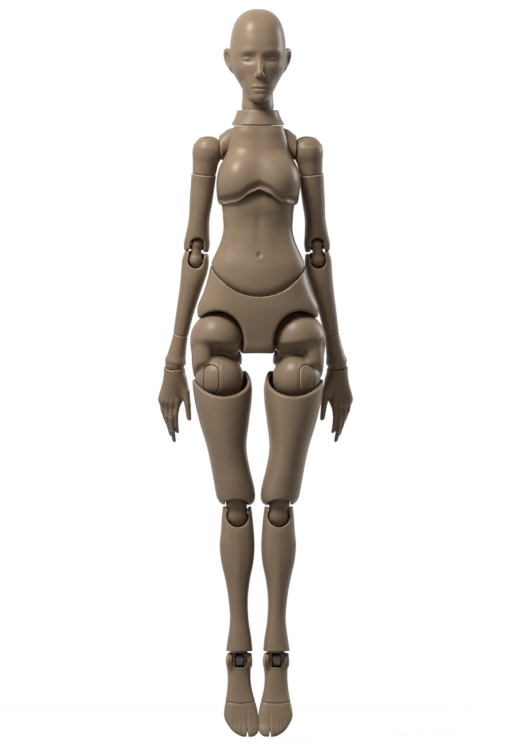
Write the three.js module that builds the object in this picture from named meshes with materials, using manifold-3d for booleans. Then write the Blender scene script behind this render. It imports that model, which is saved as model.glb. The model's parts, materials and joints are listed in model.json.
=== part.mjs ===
// Jointed one-sixth scale action figure body. Millimetres, +Z up, the figure faces -Y and +X is its left.
// Everything is drawn for the left side; the right side is its mirror image.
import * as THREE from "three";
import { mergeVertices } from "three/addons/utils/BufferGeometryUtils.js";
import Module from "manifold-3d";

const wasm = await Module();
wasm.setup();

// Clearances
const GAP = 0.36; // between skins that turn on each other
const FACET = 0.22; // how far a facet may leave a round surface
const SLIVER = 0.1; // edges shorter than this are merged after cutting
const FAR = 60; // reach of a cutter that passes right through
const PAST = 2; // how far a slot runs past the skin that it opens

// Torso joints: places in the figure frame and ball radii
const WAIST = [0, -2, 41.2];
const WAIST_RADIUS = 19.5;
const WAIST_BALL = 4.5;
const WAIST_SHAFT = 1.8;
const WAIST_SHAFT_FOOT = 11;
const CHEST = [0, -0.3, 60.5];
const CHEST_DOME_HALF_WIDTH = 14.5;
const CHEST_DOME_RADIUS = 9.9;
const CHEST_BALL = 3.6;
const CHEST_SHAFT = 1.8;
const CHEST_SHAFT_LENGTH = 19;
const CHEST_TOP = 91.3;
const NECK = [0, 1.5, 94.5];
const HEAD = [0, 2.5, 106];
const NECK_RADIUS = 6.1;
const HEAD_BALL = 3;
const HEAD_SHAFT = 1.5;
const HEAD_SHAFT_LENGTH = 13;

// Arm joints: the shoulder in the figure frame, then lengths along the arm
const COLLARBONE = [8.5, 2, 83];
const SHOULDER = [20.9, 2, 81.6];
const SHOULDER_RADIUS = 5.4;
const SHOULDER_DISC = 3.4;
const SHOULDER_DISC_THICK = 3;
const SHOULDER_SHAFT = 1.6;
const SHOULDER_SHAFT_LENGTH = 9;
const ARM_BACK = 9; // degrees that the hanging arm leans back
const ARM_OUT = 4.8; // degrees that the upper arm leans out
const FOREARM_OUT = 5.8; // further degrees at the elbow
const DELTOID_LENGTH = 10.4;
const DELTOID_HALF = 5.1;
const UPPER_ARM_LENGTH = 27.6;
const ELBOW_SPAN = 6.6;
const FOREARM_LENGTH = 30.9;
const CUFF_LENGTH = 12.1;
const BICEP_PEG = 2;
const BICEP_PEG_LENGTH = 5;
const ELBOW_BALL = 2.6;
const ELBOW_LOW_BALL = 2.9;
const ELBOW_NECK = 2.4;
const ELBOW_EAR = 2.9;
const ELBOW_LOW_EAR = 2.9;
const ELBOW_PIN = 0.8;
const ELBOW_PIN_HALF = 4.3;
const TWIST_PEG = 1.4;
const TWIST_PEG_LENGTH = 6;
const WRIST_RADIUS = 3.9;
const WRIST_BALL = 2;
const WRIST_SHAFT = 1.1;
const WRIST_SHAFT_LENGTH = 10;

// Leg joints: the hip in the figure frame, then steps down the leg
const HIP = [16.4, 0, 6.6];
const HIP_RADIUS = 10.2;
const HIP_BALL = 4;
const HIP_SHAFT = 2;
const HIP_SHAFT_LENGTH = 13;
const THIGH = [15.5, 0, -9.6];
const THIGH_RADIUS = 9.7;
const THIGH_PIN = 1.2;
const THIGH_PIN_PROUD = 0.7; // of the ball, at each end of the pin
const KNEE_TOP = [8.8, 0.8, -57];
const KNEE_LOW = [8.3, 0.8, -64.8];
const KNEE_BALL = 4.1;
const KNEE_LOW_BALL = 4.4;
const KNEE_NECK = 3.6;
const KNEE_EAR = 3.4;
const KNEE_LOW_EAR = 3.9;
const KNEE_PIN = 1;
const KNEE_PIN_HALF = 6.4;
const KNEE_LOW_PIN_HALF = 5.3;
const ANKLE_TILT = [7.4, 0.8, -116.2];
const ANKLE = [7.4, 0.8, -122.3];
const ANKLE_DISC = 2.6;
const ANKLE_DISC_HALF = 2.2;
const ANKLE_BALL = 3;
const ANKLE_NECK = 1.7;
const ANKLE_HOLLOW = 0.5; // extra room over the ankle ball, under the shin
const SHIN_END_DEPTH = 5.6;
const ANKLE_PIN = 0.8;
const ANKLE_PIN_HALF = 3.8;
const FOOT_POINT = 60; // degrees that the toes point down
const TOE_HINGE = [0, -17.5, -8.05]; // from the ankle, foot flat
const TOE_KNUCKLE = 2.4;
const TOE_TONGUE_HALF = 2;
const TOE_TONGUE_DEEP = 1.4;
const TOE_TONGUE_LONG = 4;
const PEG_ROOT = 1; // how deep a peg is rooted in its own limb
const TOE_PIN = 0.7;
const TOE_PIN_HALF = 4.9;

// Ranges that cut clearance, in degrees
const WAIST_BEND = [-8, 15];
const CHEST_BEND = [-10, 20];
const NECK_TILT = [-10, 15];
const HEAD_NOD = [-12, 12];
const SHRUG = [-3, 10];
const ARM_RAISE = [0, 80];
const WRIST_FLEX = [-35, 35];
const HIP_SPREAD = [0, 30];
const KNEE_BEND = [0, 60];
const ANKLE_FLEX = [-8, 50];

// Sections are [height, centre x, centre y, half width, front, back]
const HEAD_SECTIONS = [
  [138, 0, 2.4, 1.6, 1.5, 1.5],
  [136.4, 0, 2.2, 6, 5.4, 5.8],
  [133, 0, 1.6, 9.2, 9.2, 10.4],
  [129, 0, 1, 10.4, 11.6, 13.4],
  [123.6, 0, 0.6, 11, 13.2, 14.4],
  [118, 0, 0, 10.7, 12.8, 13.8],
  [112.4, 0, -2, 9.6, 11.8, 12.5],
  [109.6, 0, -4, 8.4, 10.2, 11],
  [106.4, 0, -7, 7, 7.4, 8],
  [103, 0, -10, 5.2, 4.4, 4],
  [100.9, 0, -11.6, 2.8, 2, 2],
];
const COLLAR_SECTIONS = [
  [97.7, 0, 1, 8.2, 8.1, 8.2],
  [95, 0, 0.8, 9, 8.5, 8.6],
  [CHEST_TOP + GAP, 0, 0.3, 10.9, 8.8, 8.8],
];
const CHEST_SECTIONS = [
  [CHEST_TOP, 0, 0, 10.7, 8.2, 8.8],
  [86, 0, 0, 12.1, 8.8, 9.6],
  [80, 0, 0, 13.4, 10.4, 10.2],
  [74, 0, 0, 15.4, 13.2, 10.4],
  [69, 0, 0, 16.2, 14.6, 10.5],
  [65, 0, 0, 16.3, 14.2, 10.5],
  [61.5, 0, 0, 16, 12.8, 10.6],
  [58.8, 0, 0, 15.5, 11.4, 10.5],
];
const ABDOMEN_SECTIONS = [
  [61, 0, 0, 14.2, 9.7, 9.2],
  [55, 0, 0, 14.1, 9.2, 8.9],
  [49.6, 0, 0, 13.7, 9, 8.8],
  [43.6, 0, 0, 14.9, 9.2, 9.2],
  [39, 0, 0, 16.9, 9.5, 9.8],
  [36, 0, 0, 18.1, 9.8, 10.2],
  [30, 0, 0, 19.2, 10.2, 11],
  [20, 0, 0, 19.4, 10.4, 11.5],
];
const PELVIS_SECTIONS = [
  [36, 0, 0, 18.9, 10.4, 11.8],
  [31, 0, 0, 19.9, 10.8, 13.2],
  [25, 0, 0, 21.4, 11, 15],
  [18, 0, 0, 23.7, 10.8, 16],
  [12, 0, 0, 22.8, 9.8, 15.6],
  [6, 0, 0, 19, 8.4, 13],
  [1, 0, 0, 8.6, 6.8, 8.6],
  [0, 0, 0, 7.6, 6, 7.6],
];
const BRIDGE_SECTIONS = [
  [6, 17.4, 0, 8.4, 8, 8],
  [1, 18, 0, 7.6, 6.6, 7.6],
  [-4, 17.2, 0, 7.2, 6.4, 7.4],
  [-8, 16, 0, 5, 5, 6],
];

// Limb rows are [share of the way to the next joint, centre shift, half width, front, back]
const DELTOID_ROWS = [
  [-0.15, 0, 4.6, 4.6, 4.6],
  [0.1, 0, DELTOID_HALF, DELTOID_HALF, DELTOID_HALF],
  [0.5, 0, 4.85, 4.9, 4.9],
  [1, 0, 4.6, 4.7, 4.7],
];
const UPPER_ARM_ROWS = [
  [0, 0, 4.6, 4.7, 4.7],
  [0.36, 0, 4.3, 4.6, 4.6],
  [0.65, 0, 4.1, 4.3, 4.3],
  [0.86, 0, 4.7, 4.5, 4.4],
  [1.01, 0, 5.2, 4.6, 4.4],
  [1.12, 0, 4.8, 4.2, 4],
];
const FOREARM_ROWS = [
  [-0.11, 0, 4.7, 3.6, 3.6],
  [0.02, -0.2, 5.4, 4.2, 4.2],
  [0.13, -0.4, 5.3, 4.6, 4.6],
  [0.26, -0.4, 4.85, 4.7, 4.7],
  [0.4, -0.3, 4.35, 4.5, 4.5],
  [0.67, 0, 3.4, 3.7, 3.7],
  [1, 0, 2.8, 3, 3],
];
const CUFF_ROWS = [
  [0, 0, 2.8, 3, 3],
  [0.3, 0, 2.95, 3.1, 3.1],
  [0.6, 0, 3.4, 3.4, 3.4],
  [0.9, 0, 3.8, 3.8, 3.8],
];
const THIGH_ROWS = [
  [-0.06, -0.8, 11.3, 11.2, 11.4],
  [0.06, -0.8, 11.85, 12, 12],
  [0.19, -0.3, 11.4, 12.3, 12],
  [0.35, 0.4, 10.1, 12, 11],
  [0.61, 0.9, 7.8, 10.4, 9],
  [0.78, 0.5, 7.7, 9, 7.6],
  [0.95, 0, 7.85, 8.4, 6.4],
  [1.08, 0, 7.5, 7.6, 5],
];
const SHIN_ROWS = [
  [-0.07, 0, 5.7, 4.4, 4.4],
  [0.01, 0, 6.2, 4.9, 4.9],
  [0.1, 0, 6.6, 5.7, 6.2],
  [0.2, 0.2, 7, 5.8, 8],
  [0.31, 0.2, 6.55, 5.6, 8.6],
  [0.45, 0.2, 4.9, 5, 7.6],
  [0.58, 0.1, 3.9, 4.4, 5.8],
  [0.72, -0.2, 3.75, 4, 4.8],
  [0.86, -0.2, 4.8, 4.5, 4.9],
  [0.945, 0, 5.4, 4.8, 5],
];

// The foot lies flat here
// Rows are [forward of the ankle, centre x, centre height, half width, below, above]
const FOOT_ROWS = [
  [-6.8, 0, -6, 2.4, 2.6, 2.6],
  [-5.7, 0, -5.6, 4, 4.5, 4],
  [-4.2, 0, -5.1, 4.8, 5.3, 4.9],
  [-2.2, 0, -4.8, 5.1, 5.6, 5.6],
  [0, 0, -4.6, 4.9, 5.8, 6],
  [5, 0, -5.6, 4.6, 4.9, 4.7],
  [10, -0.1, -6.8, 5, 3.7, 3.6],
  [14.5, -0.3, -7.8, 5.9, 2.7, 2.9],
  [17.5, -0.4, -8.05, 6.5, 2.45, 2.45],
  [21.6, -0.55, -8.5, 6.7, 2, 1.9],
  [25, -1.2, -8.8, 5.9, 1.7, 1.5],
  [28.2, -2.3, -9, 4.5, 1.5, 1.3],
  [30.2, -3, -9.1, 2.2, 1, 0.9],
];
const SOLE = -10.4; // flat underside, from the ankle
const TOE_SPLIT = { x: -2.9, wide: 0.7, from: 26.2 };

// The hand hangs here: palm sections, then finger paths with a radius at each point
// Past its root it leans in to hang upright, by this share of its length
const HAND_ROOT = -2;
const HAND_LEAN = 0.24;
const leaned = (x, z) => x - HAND_LEAN * Math.max(HAND_ROOT - z, 0);
const PALM_SECTIONS = [
  [-1.6, 0, 0, 4.2, 4, 4],
  [-4.5, 0.6, 0, 4.2, 3.9, 3.9],
  [-9, 2, 0.2, 3.7, 4.1, 4],
  [-13.5, 3.2, 0.5, 3, 4.4, 4.5],
  [-17, 3.9, 0.6, 2.2, 4.1, 4.3],
  [-18.6, 4, 0.6, 1.6, 3.4, 3.6],
].map(([z, x, ...rest]) => [z, leaned(x, z), ...rest]);
const FINGERS = [
  {
    path: [[0.2, -2, -6], [-2.2, -3.2, -11], [-4.2, -3.4, -15.8], [-5.3, -2.8, -20.4]],
    radii: [2.1, 1.75, 1.4, 1],
  },
  {
    path: [[3.8, -2.5, -16], [3.2, -2.8, -22.4], [1.9, -2.5, -26.2], [0.9, -2.2, -28.4]],
    radii: [1.4, 1.25, 1.1, 0.85],
  },
  {
    path: [[4.2, -0.4, -16.5], [3.4, -0.5, -23], [1.5, -0.2, -26.6], [0.2, 0.1, -28.4]],
    radii: [1.4, 1.28, 1.1, 0.85],
  },
  {
    path: [[4.3, 1.7, -16], [3, 1.8, -21.8], [0.8, 2, -24.6], [-0.7, 2.1, -25.8]],
    radii: [1.4, 1.22, 1.05, 0.82],
  },
  {
    path: [[4.1, 3.5, -15], [2.8, 3.7, -19.6], [1, 3.8, -22], [-0.5, 3.8, -22.9]],
    radii: [1.3, 1.1, 0.95, 0.75],
  },
].map(({ path, radii }) => ({ path: path.map(([x, y, z]) => [leaned(x, z), y, z]), radii }));

// Clavicle rows run outward: [x, minus height, centre y, half height, front, back]
const CLAVICLE_ROWS = [
  [5.4, -84.6, 2, 4.2, 3.8, 3.8],
  [8.8, -84.8, 2, 5.6, 4.6, 4.6],
  [12, -84.6, 2, 6.1, 5, 5],
  [15.5, -83, 2, 5.4, 5.2, 5.2],
  [18, -82, 2, 4.4, 4.8, 4.8],
];

// Other shapes on the skin
const CHEST_EDGE = [[-22, 58.4], [-15.5, 59.3], [-11.5, 60.2], [-8.5, 60.9], [-4.5, 63.8], [0, 65.8]];
const CHEST_BACK_EDGE = 60;
const POCKET = [[4.4, 79.6], [4.4, 89], [6.8, 91], [6.8, 95], [FAR, 95], [FAR, 76.4], [8.4, 76.4]];
const NOSE = { at: [0, -13.2, 113], size: [1.5, 1.9, 3.6] };
const EAR = { at: [11.2, 1.8, 117.4], size: [2, 2.9, 5] };
const LEG_OPENING = { x: 16.6, z: 4.3, across: 11, up: 13.4 };
const LEG_OPENING_BACK = { x: 16.6, z: -4, across: 11, up: 10.8 };
const CUP_RIM = { side: -7, flat: 2.5, frontSlope: 0.98, backSlope: 0.42 };
const CAP = { x: 19.1, top: -4.4, bottom: -16, half: 2.85, depth: 4.9 };

// Finishes
const SKIN = { color: 0x9a846c, roughness: 0.48, metalness: 0 };
const JOINT = { color: 0x86715b, roughness: 0.5, metalness: 0 };
const STEEL = { color: 0xb4b2ae, roughness: 0.35, metalness: 1 };
const DARK_METAL = { color: 0x504b47, roughness: 0.35, metalness: 0.9 };

// Small sums on points
const plus = (a, b) => a.map((value, i) => value + b[i]);
const between = (a, b, share) => a.map((value, i) => value + (b[i] - value) * share);
function steps([low, high], count) {
  return Array.from({ length: count + 1 }, (_, i) => low + ((high - low) * i) / count);
}
const sidesFor = (radius) => Math.max(8, 2 * Math.ceil(Math.PI / Math.acos(1 - FACET / radius) / 2));

// A closed solid from a three.js geometry
function solid(geometry) {
  geometry.deleteAttribute("normal");
  geometry.deleteAttribute("uv");
  const welded = mergeVertices(geometry, 1e-4);
  const index = welded.index.array;
  const faces = [];
  for (let i = 0; i < index.length; i += 3) {
    const [a, b, c] = index.slice(i, i + 3);
    if (a !== b && b !== c && c !== a) faces.push(a, b, c);
  }
  return new wasm.Manifold(new wasm.Mesh({
    numProp: 3,
    vertProperties: Float32Array.from(welded.attributes.position.array),
    triVerts: Uint32Array.from(faces),
  }));
}
const join = (...parts) => parts.flat().reduce((sum, part) => sum.add(part));
const cut = (body, ...tools) => tools.flat().reduce((rest, tool) => rest.subtract(tool), body);

// A geometry turned in degrees about an axis through a point
function turned(geometry, at, axis, degrees) {
  const copy = geometry.clone();
  copy.translate(-at[0], -at[1], -at[2]);
  const angle = THREE.MathUtils.degToRad(degrees);
  copy.applyMatrix4(new THREE.Matrix4().makeRotationAxis(new THREE.Vector3(...axis), angle));
  copy.translate(...at);
  return copy;
}
// The space that a geometry needs while it turns through a list of angles
const swept = (geometry, at, axis, angles) => angles.map((angle) => solid(turned(geometry, at, axis, angle)));

function ballShape(at, radius) {
  const sides = sidesFor(radius);
  return new THREE.SphereGeometry(radius, sides, sides / 2).rotateX(Math.PI / 2).translate(...at);
}
const ball = (at, radius) => solid(ballShape(at, radius));

function oval(at, size) {
  const sides = sidesFor(Math.max(...size));
  const round = new THREE.SphereGeometry(1, sides, sides / 2).rotateX(Math.PI / 2);
  return solid(round.scale(...size).translate(...at));
}

// A round bar between two points; round = true gives it round ends
function barShape(from, to, radius, round = false) {
  const start = new THREE.Vector3(...from);
  const way = new THREE.Vector3(...to).sub(start);
  const sides = sidesFor(radius);
  const shape = round
    ? new THREE.CapsuleGeometry(radius, way.length(), sides / 4, sides)
    : new THREE.CylinderGeometry(radius, radius, way.length(), sides);
  const turn = new THREE.Quaternion().setFromUnitVectors(new THREE.Vector3(0, 1, 0), way.clone().normalize());
  const middle = start.addScaledVector(way, 0.5);
  return shape.applyQuaternion(turn).translate(middle.x, middle.y, middle.z);
}
const bar = (from, to, radius, round) => solid(barShape(from, to, radius, round));
// A bar across the figure, half of it on each side of a point
const pin = (at, half, radius) => bar(plus(at, [-half, 0, 0]), plus(at, [half, 0, 0]), radius);

function block(low, high) {
  const size = high.map((value, i) => value - low[i]);
  return solid(new THREE.BoxGeometry(...size).translate(...between(low, high, 0.5)));
}

// A plate with its outline across and up, drawn out along Y between two depths
function plateXZ(outline, from, to) {
  const shape = new THREE.Shape(outline.map(([x, z]) => new THREE.Vector2(x, z)));
  const plate = new THREE.ExtrudeGeometry(shape, { depth: to - from, bevelEnabled: false });
  return solid(plate.rotateX(Math.PI / 2).translate(0, to, 0));
}

// A point so far out along a direction, and so far to its side
function ray(angle, out, side) {
  const a = THREE.MathUtils.degToRad(angle);
  return new THREE.Vector2(out * Math.cos(a) - side * Math.sin(a), out * Math.sin(a) + side * Math.cos(a));
}

// The flat slot in which a bar swings about a point
// Angles run from +X to +Z, or from +Y to +Z if sideways is false
function swingSlot(at, reach, half, [low, high], sideways) {
  const rim = steps([low, high], 5).map((angle) => ray(angle, reach, 0));
  const lowSide = [ray(low, 0, -half), ray(low, reach, -half)];
  const highSide = [ray(high, reach, half), ray(high, 0, half)];
  const outline = [...lowSide, ...rim, ...highSide];
  const plate = new THREE.ExtrudeGeometry(new THREE.Shape(outline), { depth: 2 * half, bevelEnabled: false });
  plate.translate(0, 0, -half).rotateX(Math.PI / 2);
  if (!sideways) plate.rotateZ(Math.PI / 2);
  return solid(plate.translate(...at));
}

// The space that a flat-ended block sweeps as it swings in the YZ plane; angles run from +Y to +Z
function swingRoom(near, reach, depth, half, [low, high]) {
  const angles = steps([low, high], 6);
  const outer = angles.map((angle) => ray(angle, reach, 0));
  const inner = angles.map((angle) => ray(angle, near, 0)).reverse();
  const lowEnd = [ray(low, near, -depth), ray(low, reach, -depth)];
  const highEnd = [ray(high, reach, depth), ray(high, near, depth)];
  const shape = new THREE.Shape([...lowEnd, ...outer, ...highEnd, ...inner]);
  const room = new THREE.ExtrudeGeometry(shape, { depth: 2 * half, bevelEnabled: false });
  return solid(room.translate(0, 0, -half).rotateX(Math.PI / 2).rotateZ(Math.PI / 2));
}

// A closed skin through oval sections, smooth from one to the next
function loftShape(sections, sides, fine, power = 2) {
  const rising = sections[0][0] < sections.at(-1)[0] ? sections : [...sections].reverse();
  const smooth = (points) => new THREE.CatmullRomCurve3(points, false, "catmullrom");
  const middles = smooth(rising.map(([z, x, y]) => new THREE.Vector3(x, y, z)));
  const sizes = smooth(rising.map((section) => new THREE.Vector3(...section.slice(3))));
  const rings = (rising.length - 1) * fine;
  const bend = (value) => Math.sign(value) * Math.abs(value) ** (2 / power);
  const points = [];
  for (let ring = 0; ring <= rings; ring += 1) {
    const middle = middles.getPoint(ring / rings);
    const size = sizes.getPoint(ring / rings);
    for (let side = 0; side < sides; side += 1) {
      const angle = (2 * Math.PI * side) / sides;
      const along = bend(Math.sin(angle));
      const depth = along < 0 ? size.y : size.z;
      points.push(middle.x + size.x * bend(Math.cos(angle)), middle.y + depth * along, middle.z);
    }
  }
  const first = rising[0];
  const last = rising.at(-1);
  points.push(first[1], first[2], first[0], last[1], last[2], last[0]);
  const foot = (rings + 1) * sides;
  const faces = [];
  for (let side = 0; side < sides; side += 1) {
    const next = (side + 1) % sides;
    for (let ring = 0; ring < rings; ring += 1) {
      const low = ring * sides;
      const high = low + sides;
      faces.push(low + side, low + next, high + next, low + side, high + next, high + side);
    }
    faces.push(foot, next, side, foot + 1, rings * sides + side, rings * sides + next);
  }
  const shape = new THREE.BufferGeometry();
  shape.setAttribute("position", new THREE.Float32BufferAttribute(points, 3));
  shape.setIndex(faces);
  return shape;
}
const loft = (sections, sides, fine, power) => solid(loftShape(sections, sides, fine, power));
// Limb rows turned into sections between two joints
const limb = (from, to, rows) => rows.map(([share, shift, ...size]) => {
  const [x, y, z] = between(from, to, share);
  return [z, x + shift, y, ...size];
});

// A finger: a round tube that tapers along a curve
function finger({ path, radii }) {
  const sides = 6;
  const rings = 4;
  const curve = new THREE.CatmullRomCurve3(path.map((point) => new THREE.Vector3(...point)));
  const girth = new THREE.SplineCurve(radii.map((radius, i) => new THREE.Vector2(i, radius)));
  const frames = curve.computeFrenetFrames(rings, false);
  const points = [];
  const end = curve.getPointAt(1).addScaledVector(frames.tangents[rings], radii.at(-1) * 0.7);
  for (let ring = 0; ring <= rings; ring += 1) {
    const middle = curve.getPointAt(ring / rings);
    const radius = girth.getPoint(ring / rings).y;
    for (let side = 0; side < sides; side += 1) {
      const angle = (2 * Math.PI * side) / sides;
      const point = middle.clone()
        .addScaledVector(frames.normals[ring], radius * Math.cos(angle))
        .addScaledVector(frames.binormals[ring], radius * Math.sin(angle));
      points.push(...point.toArray());
    }
  }
  points.push(...curve.getPointAt(0).toArray(), ...end.toArray());
  const root = (rings + 1) * sides;
  const faces = [];
  for (let side = 0; side < sides; side += 1) {
    const next = (side + 1) % sides;
    for (let ring = 0; ring < rings; ring += 1) {
      const low = ring * sides;
      const high = low + sides;
      faces.push(low + side, low + next, high + next, low + side, high + next, high + side);
    }
    faces.push(root, next, side, root + 1, rings * sides + side, rings * sides + next);
  }
  const shape = new THREE.BufferGeometry();
  shape.setAttribute("position", new THREE.Float32BufferAttribute(points, 3));
  shape.setIndex(faces);
  return solid(shape);
}

const mirrored = ([x, y, z]) => [-x, y, z];
// The same geometry on the other side, with its faces still pointing out
function mirrorShape(shape) {
  const copy = shape.clone().scale(-1, 1, 1);
  const index = copy.index.array;
  for (let i = 0; i < index.length; i += 3) [index[i], index[i + 1]] = [index[i + 1], index[i]];
  return copy;
}
const bothSides = (make) => [make((point) => point), make(mirrored)];

// Head and neck
const neckRoom = barShape(NECK, HEAD, NECK_RADIUS + GAP);
const neck = cut(
  bar(NECK, HEAD, NECK_RADIUS, true),
  ball(HEAD, HEAD_BALL + GAP),
  swingSlot(HEAD, NECK_RADIUS + PAST, HEAD_SHAFT + GAP, [90 + HEAD_NOD[0], 90 + HEAD_NOD[1]], false),
);
const headPeg = join(ball(HEAD, HEAD_BALL), bar(HEAD, plus(HEAD, [0, 0, HEAD_SHAFT_LENGTH]), HEAD_SHAFT));
const ears = bothSides((side) => oval(side(EAR.at), EAR.size));
const head = cut(
  join(loft(HEAD_SECTIONS, 20, 1), oval(NOSE.at, NOSE.size), ears),
  ball(HEAD, NECK_RADIUS + GAP),
  swept(neckRoom, HEAD, [1, 0, 0], steps([-HEAD_NOD[1], -HEAD_NOD[0]], 2)),
  bar(HEAD, plus(HEAD, [0, 0, HEAD_SHAFT_LENGTH + GAP]), HEAD_SHAFT + GAP),
);

// Shoulder block, and the room it needs in the chest and collar
const clavicleShape = (extra) => {
  const grown = (size) => size.map((value) => value + extra);
  const rows = CLAVICLE_ROWS.map(([x, drop, y, ...size]) => [x, drop, y, ...grown(size)]);
  rows[0][0] -= extra;
  rows.at(-1)[0] += extra;
  return loftShape(rows, 12, 1).rotateY(Math.PI / 2);
};
const clavicle = cut(
  solid(clavicleShape(0)),
  ball(SHOULDER, SHOULDER_RADIUS + GAP),
  block([SHOULDER[0] - DELTOID_HALF - GAP, -FAR, 0], [FAR, FAR, 2 * FAR]),
  bar(plus(SHOULDER, [-SHOULDER_SHAFT_LENGTH - GAP, 0, 0]), SHOULDER, SHOULDER_SHAFT + GAP),
);
const clavicleRaised = turned(clavicleShape(GAP), COLLARBONE, [0, -1, 0], SHRUG[1]);
const collarNotches = [solid(clavicleRaised), solid(mirrorShape(clavicleRaised))];
const pocketHalf = Math.max(...CLAVICLE_ROWS.map((row) => row[4])) + GAP;
const claviclePocket = (side) => plateXZ(
  POCKET.map(([x, z]) => [side([x, 0, 0])[0], z]),
  COLLARBONE[1] - pocketHalf,
  COLLARBONE[1] + pocketHalf,
);

// Chest in two shells, and the collar on top
const chestPegTop = plus(CHEST, [0, 0, CHEST_SHAFT_LENGTH]);
const chestPeg = join(ball(CHEST, CHEST_BALL), bar(CHEST, chestPegTop, CHEST_SHAFT));
const domeSize = [CHEST_DOME_HALF_WIDTH, CHEST_DOME_RADIUS, CHEST_DOME_RADIUS];
const edgeHalf = new THREE.SplineCurve(CHEST_EDGE.map(([x, z]) => new THREE.Vector2(x, z))).getPoints(10);
const edgeRight = edgeHalf.map(({ x, y }) => [x, y]);
const edgeLeft = edgeHalf.slice(0, -1).reverse().map(({ x, y }) => [-x, y]);
const edgeLine = [...edgeRight, ...edgeLeft];
const chestWhole = cut(
  loft(CHEST_SECTIONS, 20, 1, 2.3),
  plateXZ([[-FAR, 0], ...edgeLine, [FAR, 0]], -FAR, CHEST[1]),
  block([-FAR, CHEST[1], 0], [FAR, FAR, CHEST_BACK_EDGE]),
  oval(CHEST, domeSize.map((value) => value + GAP)),
  bar(CHEST, plus(chestPegTop, [0, 0, GAP]), CHEST_SHAFT + GAP),
  ball(NECK, NECK_RADIUS + GAP),
  bothSides(claviclePocket),
);
const chestFront = cut(chestWhole, block([-FAR, CHEST[1] - GAP / 2, 0], [FAR, FAR, 2 * FAR]));
const chestBack = cut(chestWhole, block([-FAR, -FAR, 0], [FAR, CHEST[1] + GAP / 2, 2 * FAR]));
const collar = cut(
  loft(COLLAR_SECTIONS, 24, 1),
  ball(NECK, NECK_RADIUS + GAP),
  swept(neckRoom, NECK, [1, 0, 0], steps(NECK_TILT, 2)),
  collarNotches,
);

// Abdomen between two domes
const abdomenSkin = join(loft(ABDOMEN_SECTIONS, 20, 1, 2.2), oval(CHEST, domeSize));
const abdomen = cut(
  abdomenSkin.intersect(join(ball(WAIST, WAIST_RADIUS), block([-FAR, -FAR, WAIST[2]], [FAR, FAR, 2 * FAR]))),
  ball(WAIST, WAIST_BALL + GAP),
  swingSlot(WAIST, FAR / 2, WAIST_SHAFT + GAP, [-90 - WAIST_BEND[1], -90 - WAIST_BEND[0]], false),
  ball(CHEST, CHEST_BALL + GAP),
  swingSlot(CHEST, FAR / 4, CHEST_SHAFT + GAP, [90 + CHEST_BEND[0], 90 + CHEST_BEND[1]], false),
);
const waistPegFoot = [WAIST[0], WAIST[1], WAIST_SHAFT_FOOT];
const waistPeg = join(ball(WAIST, WAIST_BALL), bar(waistPegFoot, WAIST, WAIST_SHAFT));

// Pelvis with leg openings
function legOpening({ x, z, across, up }, from, to, side) {
  const opening = new THREE.CylinderGeometry(1, 1, to - from, 22).scale(across, 1, up);
  return solid(opening.translate(...side([x, (from + to) / 2, z])));
}
const hipSocket = (side) => join(
  ball(side(HIP), HIP_RADIUS + GAP),
  legOpening(LEG_OPENING, -FAR, HIP[1], side),
  legOpening(LEG_OPENING_BACK, HIP[1], FAR, side),
  bar(side(plus(HIP, [-HIP_SHAFT_LENGTH - GAP, 0, 0])), side(HIP), HIP_SHAFT + GAP),
);
const pelvis = cut(
  loft(PELVIS_SECTIONS, 24, 1, 2.3),
  ball(WAIST, WAIST_RADIUS + GAP),
  bar(plus(waistPegFoot, [0, 0, -GAP]), WAIST, WAIST_SHAFT + GAP),
  bothSides(hipSocket),
);

// Shoulder, drawn from the shoulder centre with the arm hanging along -Z
const ORIGIN = [0, 0, 0];
const down = (drop) => [0, 0, -drop];
const shoulderHinge = join(
  bar([0, -SHOULDER_DISC_THICK / 2, 0], [0, SHOULDER_DISC_THICK / 2, 0], SHOULDER_DISC),
  bar([-SHOULDER_SHAFT_LENGTH, 0, 0], ORIGIN, SHOULDER_SHAFT),
);
const deltoidEnd = down(DELTOID_LENGTH - GAP / 2);
const discHalf = SHOULDER_DISC_THICK / 2 + GAP;
const raiseSlot = [180 - ARM_RAISE[1], 180 - ARM_RAISE[0] + ARM_OUT];
const deltoid = cut(
  join(ball(ORIGIN, SHOULDER_RADIUS), loft(limb(ORIGIN, deltoidEnd, DELTOID_ROWS), 12, 1)),
  bar([0, -discHalf, 0], [0, discHalf, 0], SHOULDER_DISC + GAP),
  swingSlot(ORIGIN, SHOULDER_RADIUS + PAST, SHOULDER_SHAFT + GAP, raiseSlot, true),
  bar(down(DELTOID_LENGTH), down(DELTOID_LENGTH - BICEP_PEG_LENGTH - GAP), BICEP_PEG + GAP),
);

// Upper arm, drawn from the swivel cut
const elbowTop = down(UPPER_ARM_LENGTH);
const elbowRoom = ELBOW_BALL + GAP;
const upperArmSkin = loft(limb(down(GAP / 2), elbowTop, UPPER_ARM_ROWS), 12, 1);
const aboveElbow = block([-FAR, -FAR, elbowTop[2]], [FAR, FAR, FAR]);
const upperArm = cut(
  join(
    upperArmSkin.intersect(join(aboveElbow, pin(elbowTop, FAR, ELBOW_EAR))),
    bar(down(PEG_ROOT), [0, 0, BICEP_PEG_LENGTH], BICEP_PEG),
  ),
  bar(plus(elbowTop, [0, -FAR, 0]), plus(elbowTop, [0, elbowRoom, 0]), elbowRoom),
  block(plus(elbowTop, [-elbowRoom, -FAR, -FAR]), plus(elbowTop, [elbowRoom, FAR, 0])),
  pin(elbowTop, ELBOW_PIN_HALF + GAP, ELBOW_PIN + GAP),
);
const elbowPin = pin(ORIGIN, ELBOW_PIN_HALF, ELBOW_PIN);
const elbowLow = down(ELBOW_SPAN);
const lowPinHole = barShape([-FAR, 0, -ELBOW_SPAN], [FAR, 0, -ELBOW_SPAN], ELBOW_PIN + GAP);
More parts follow.
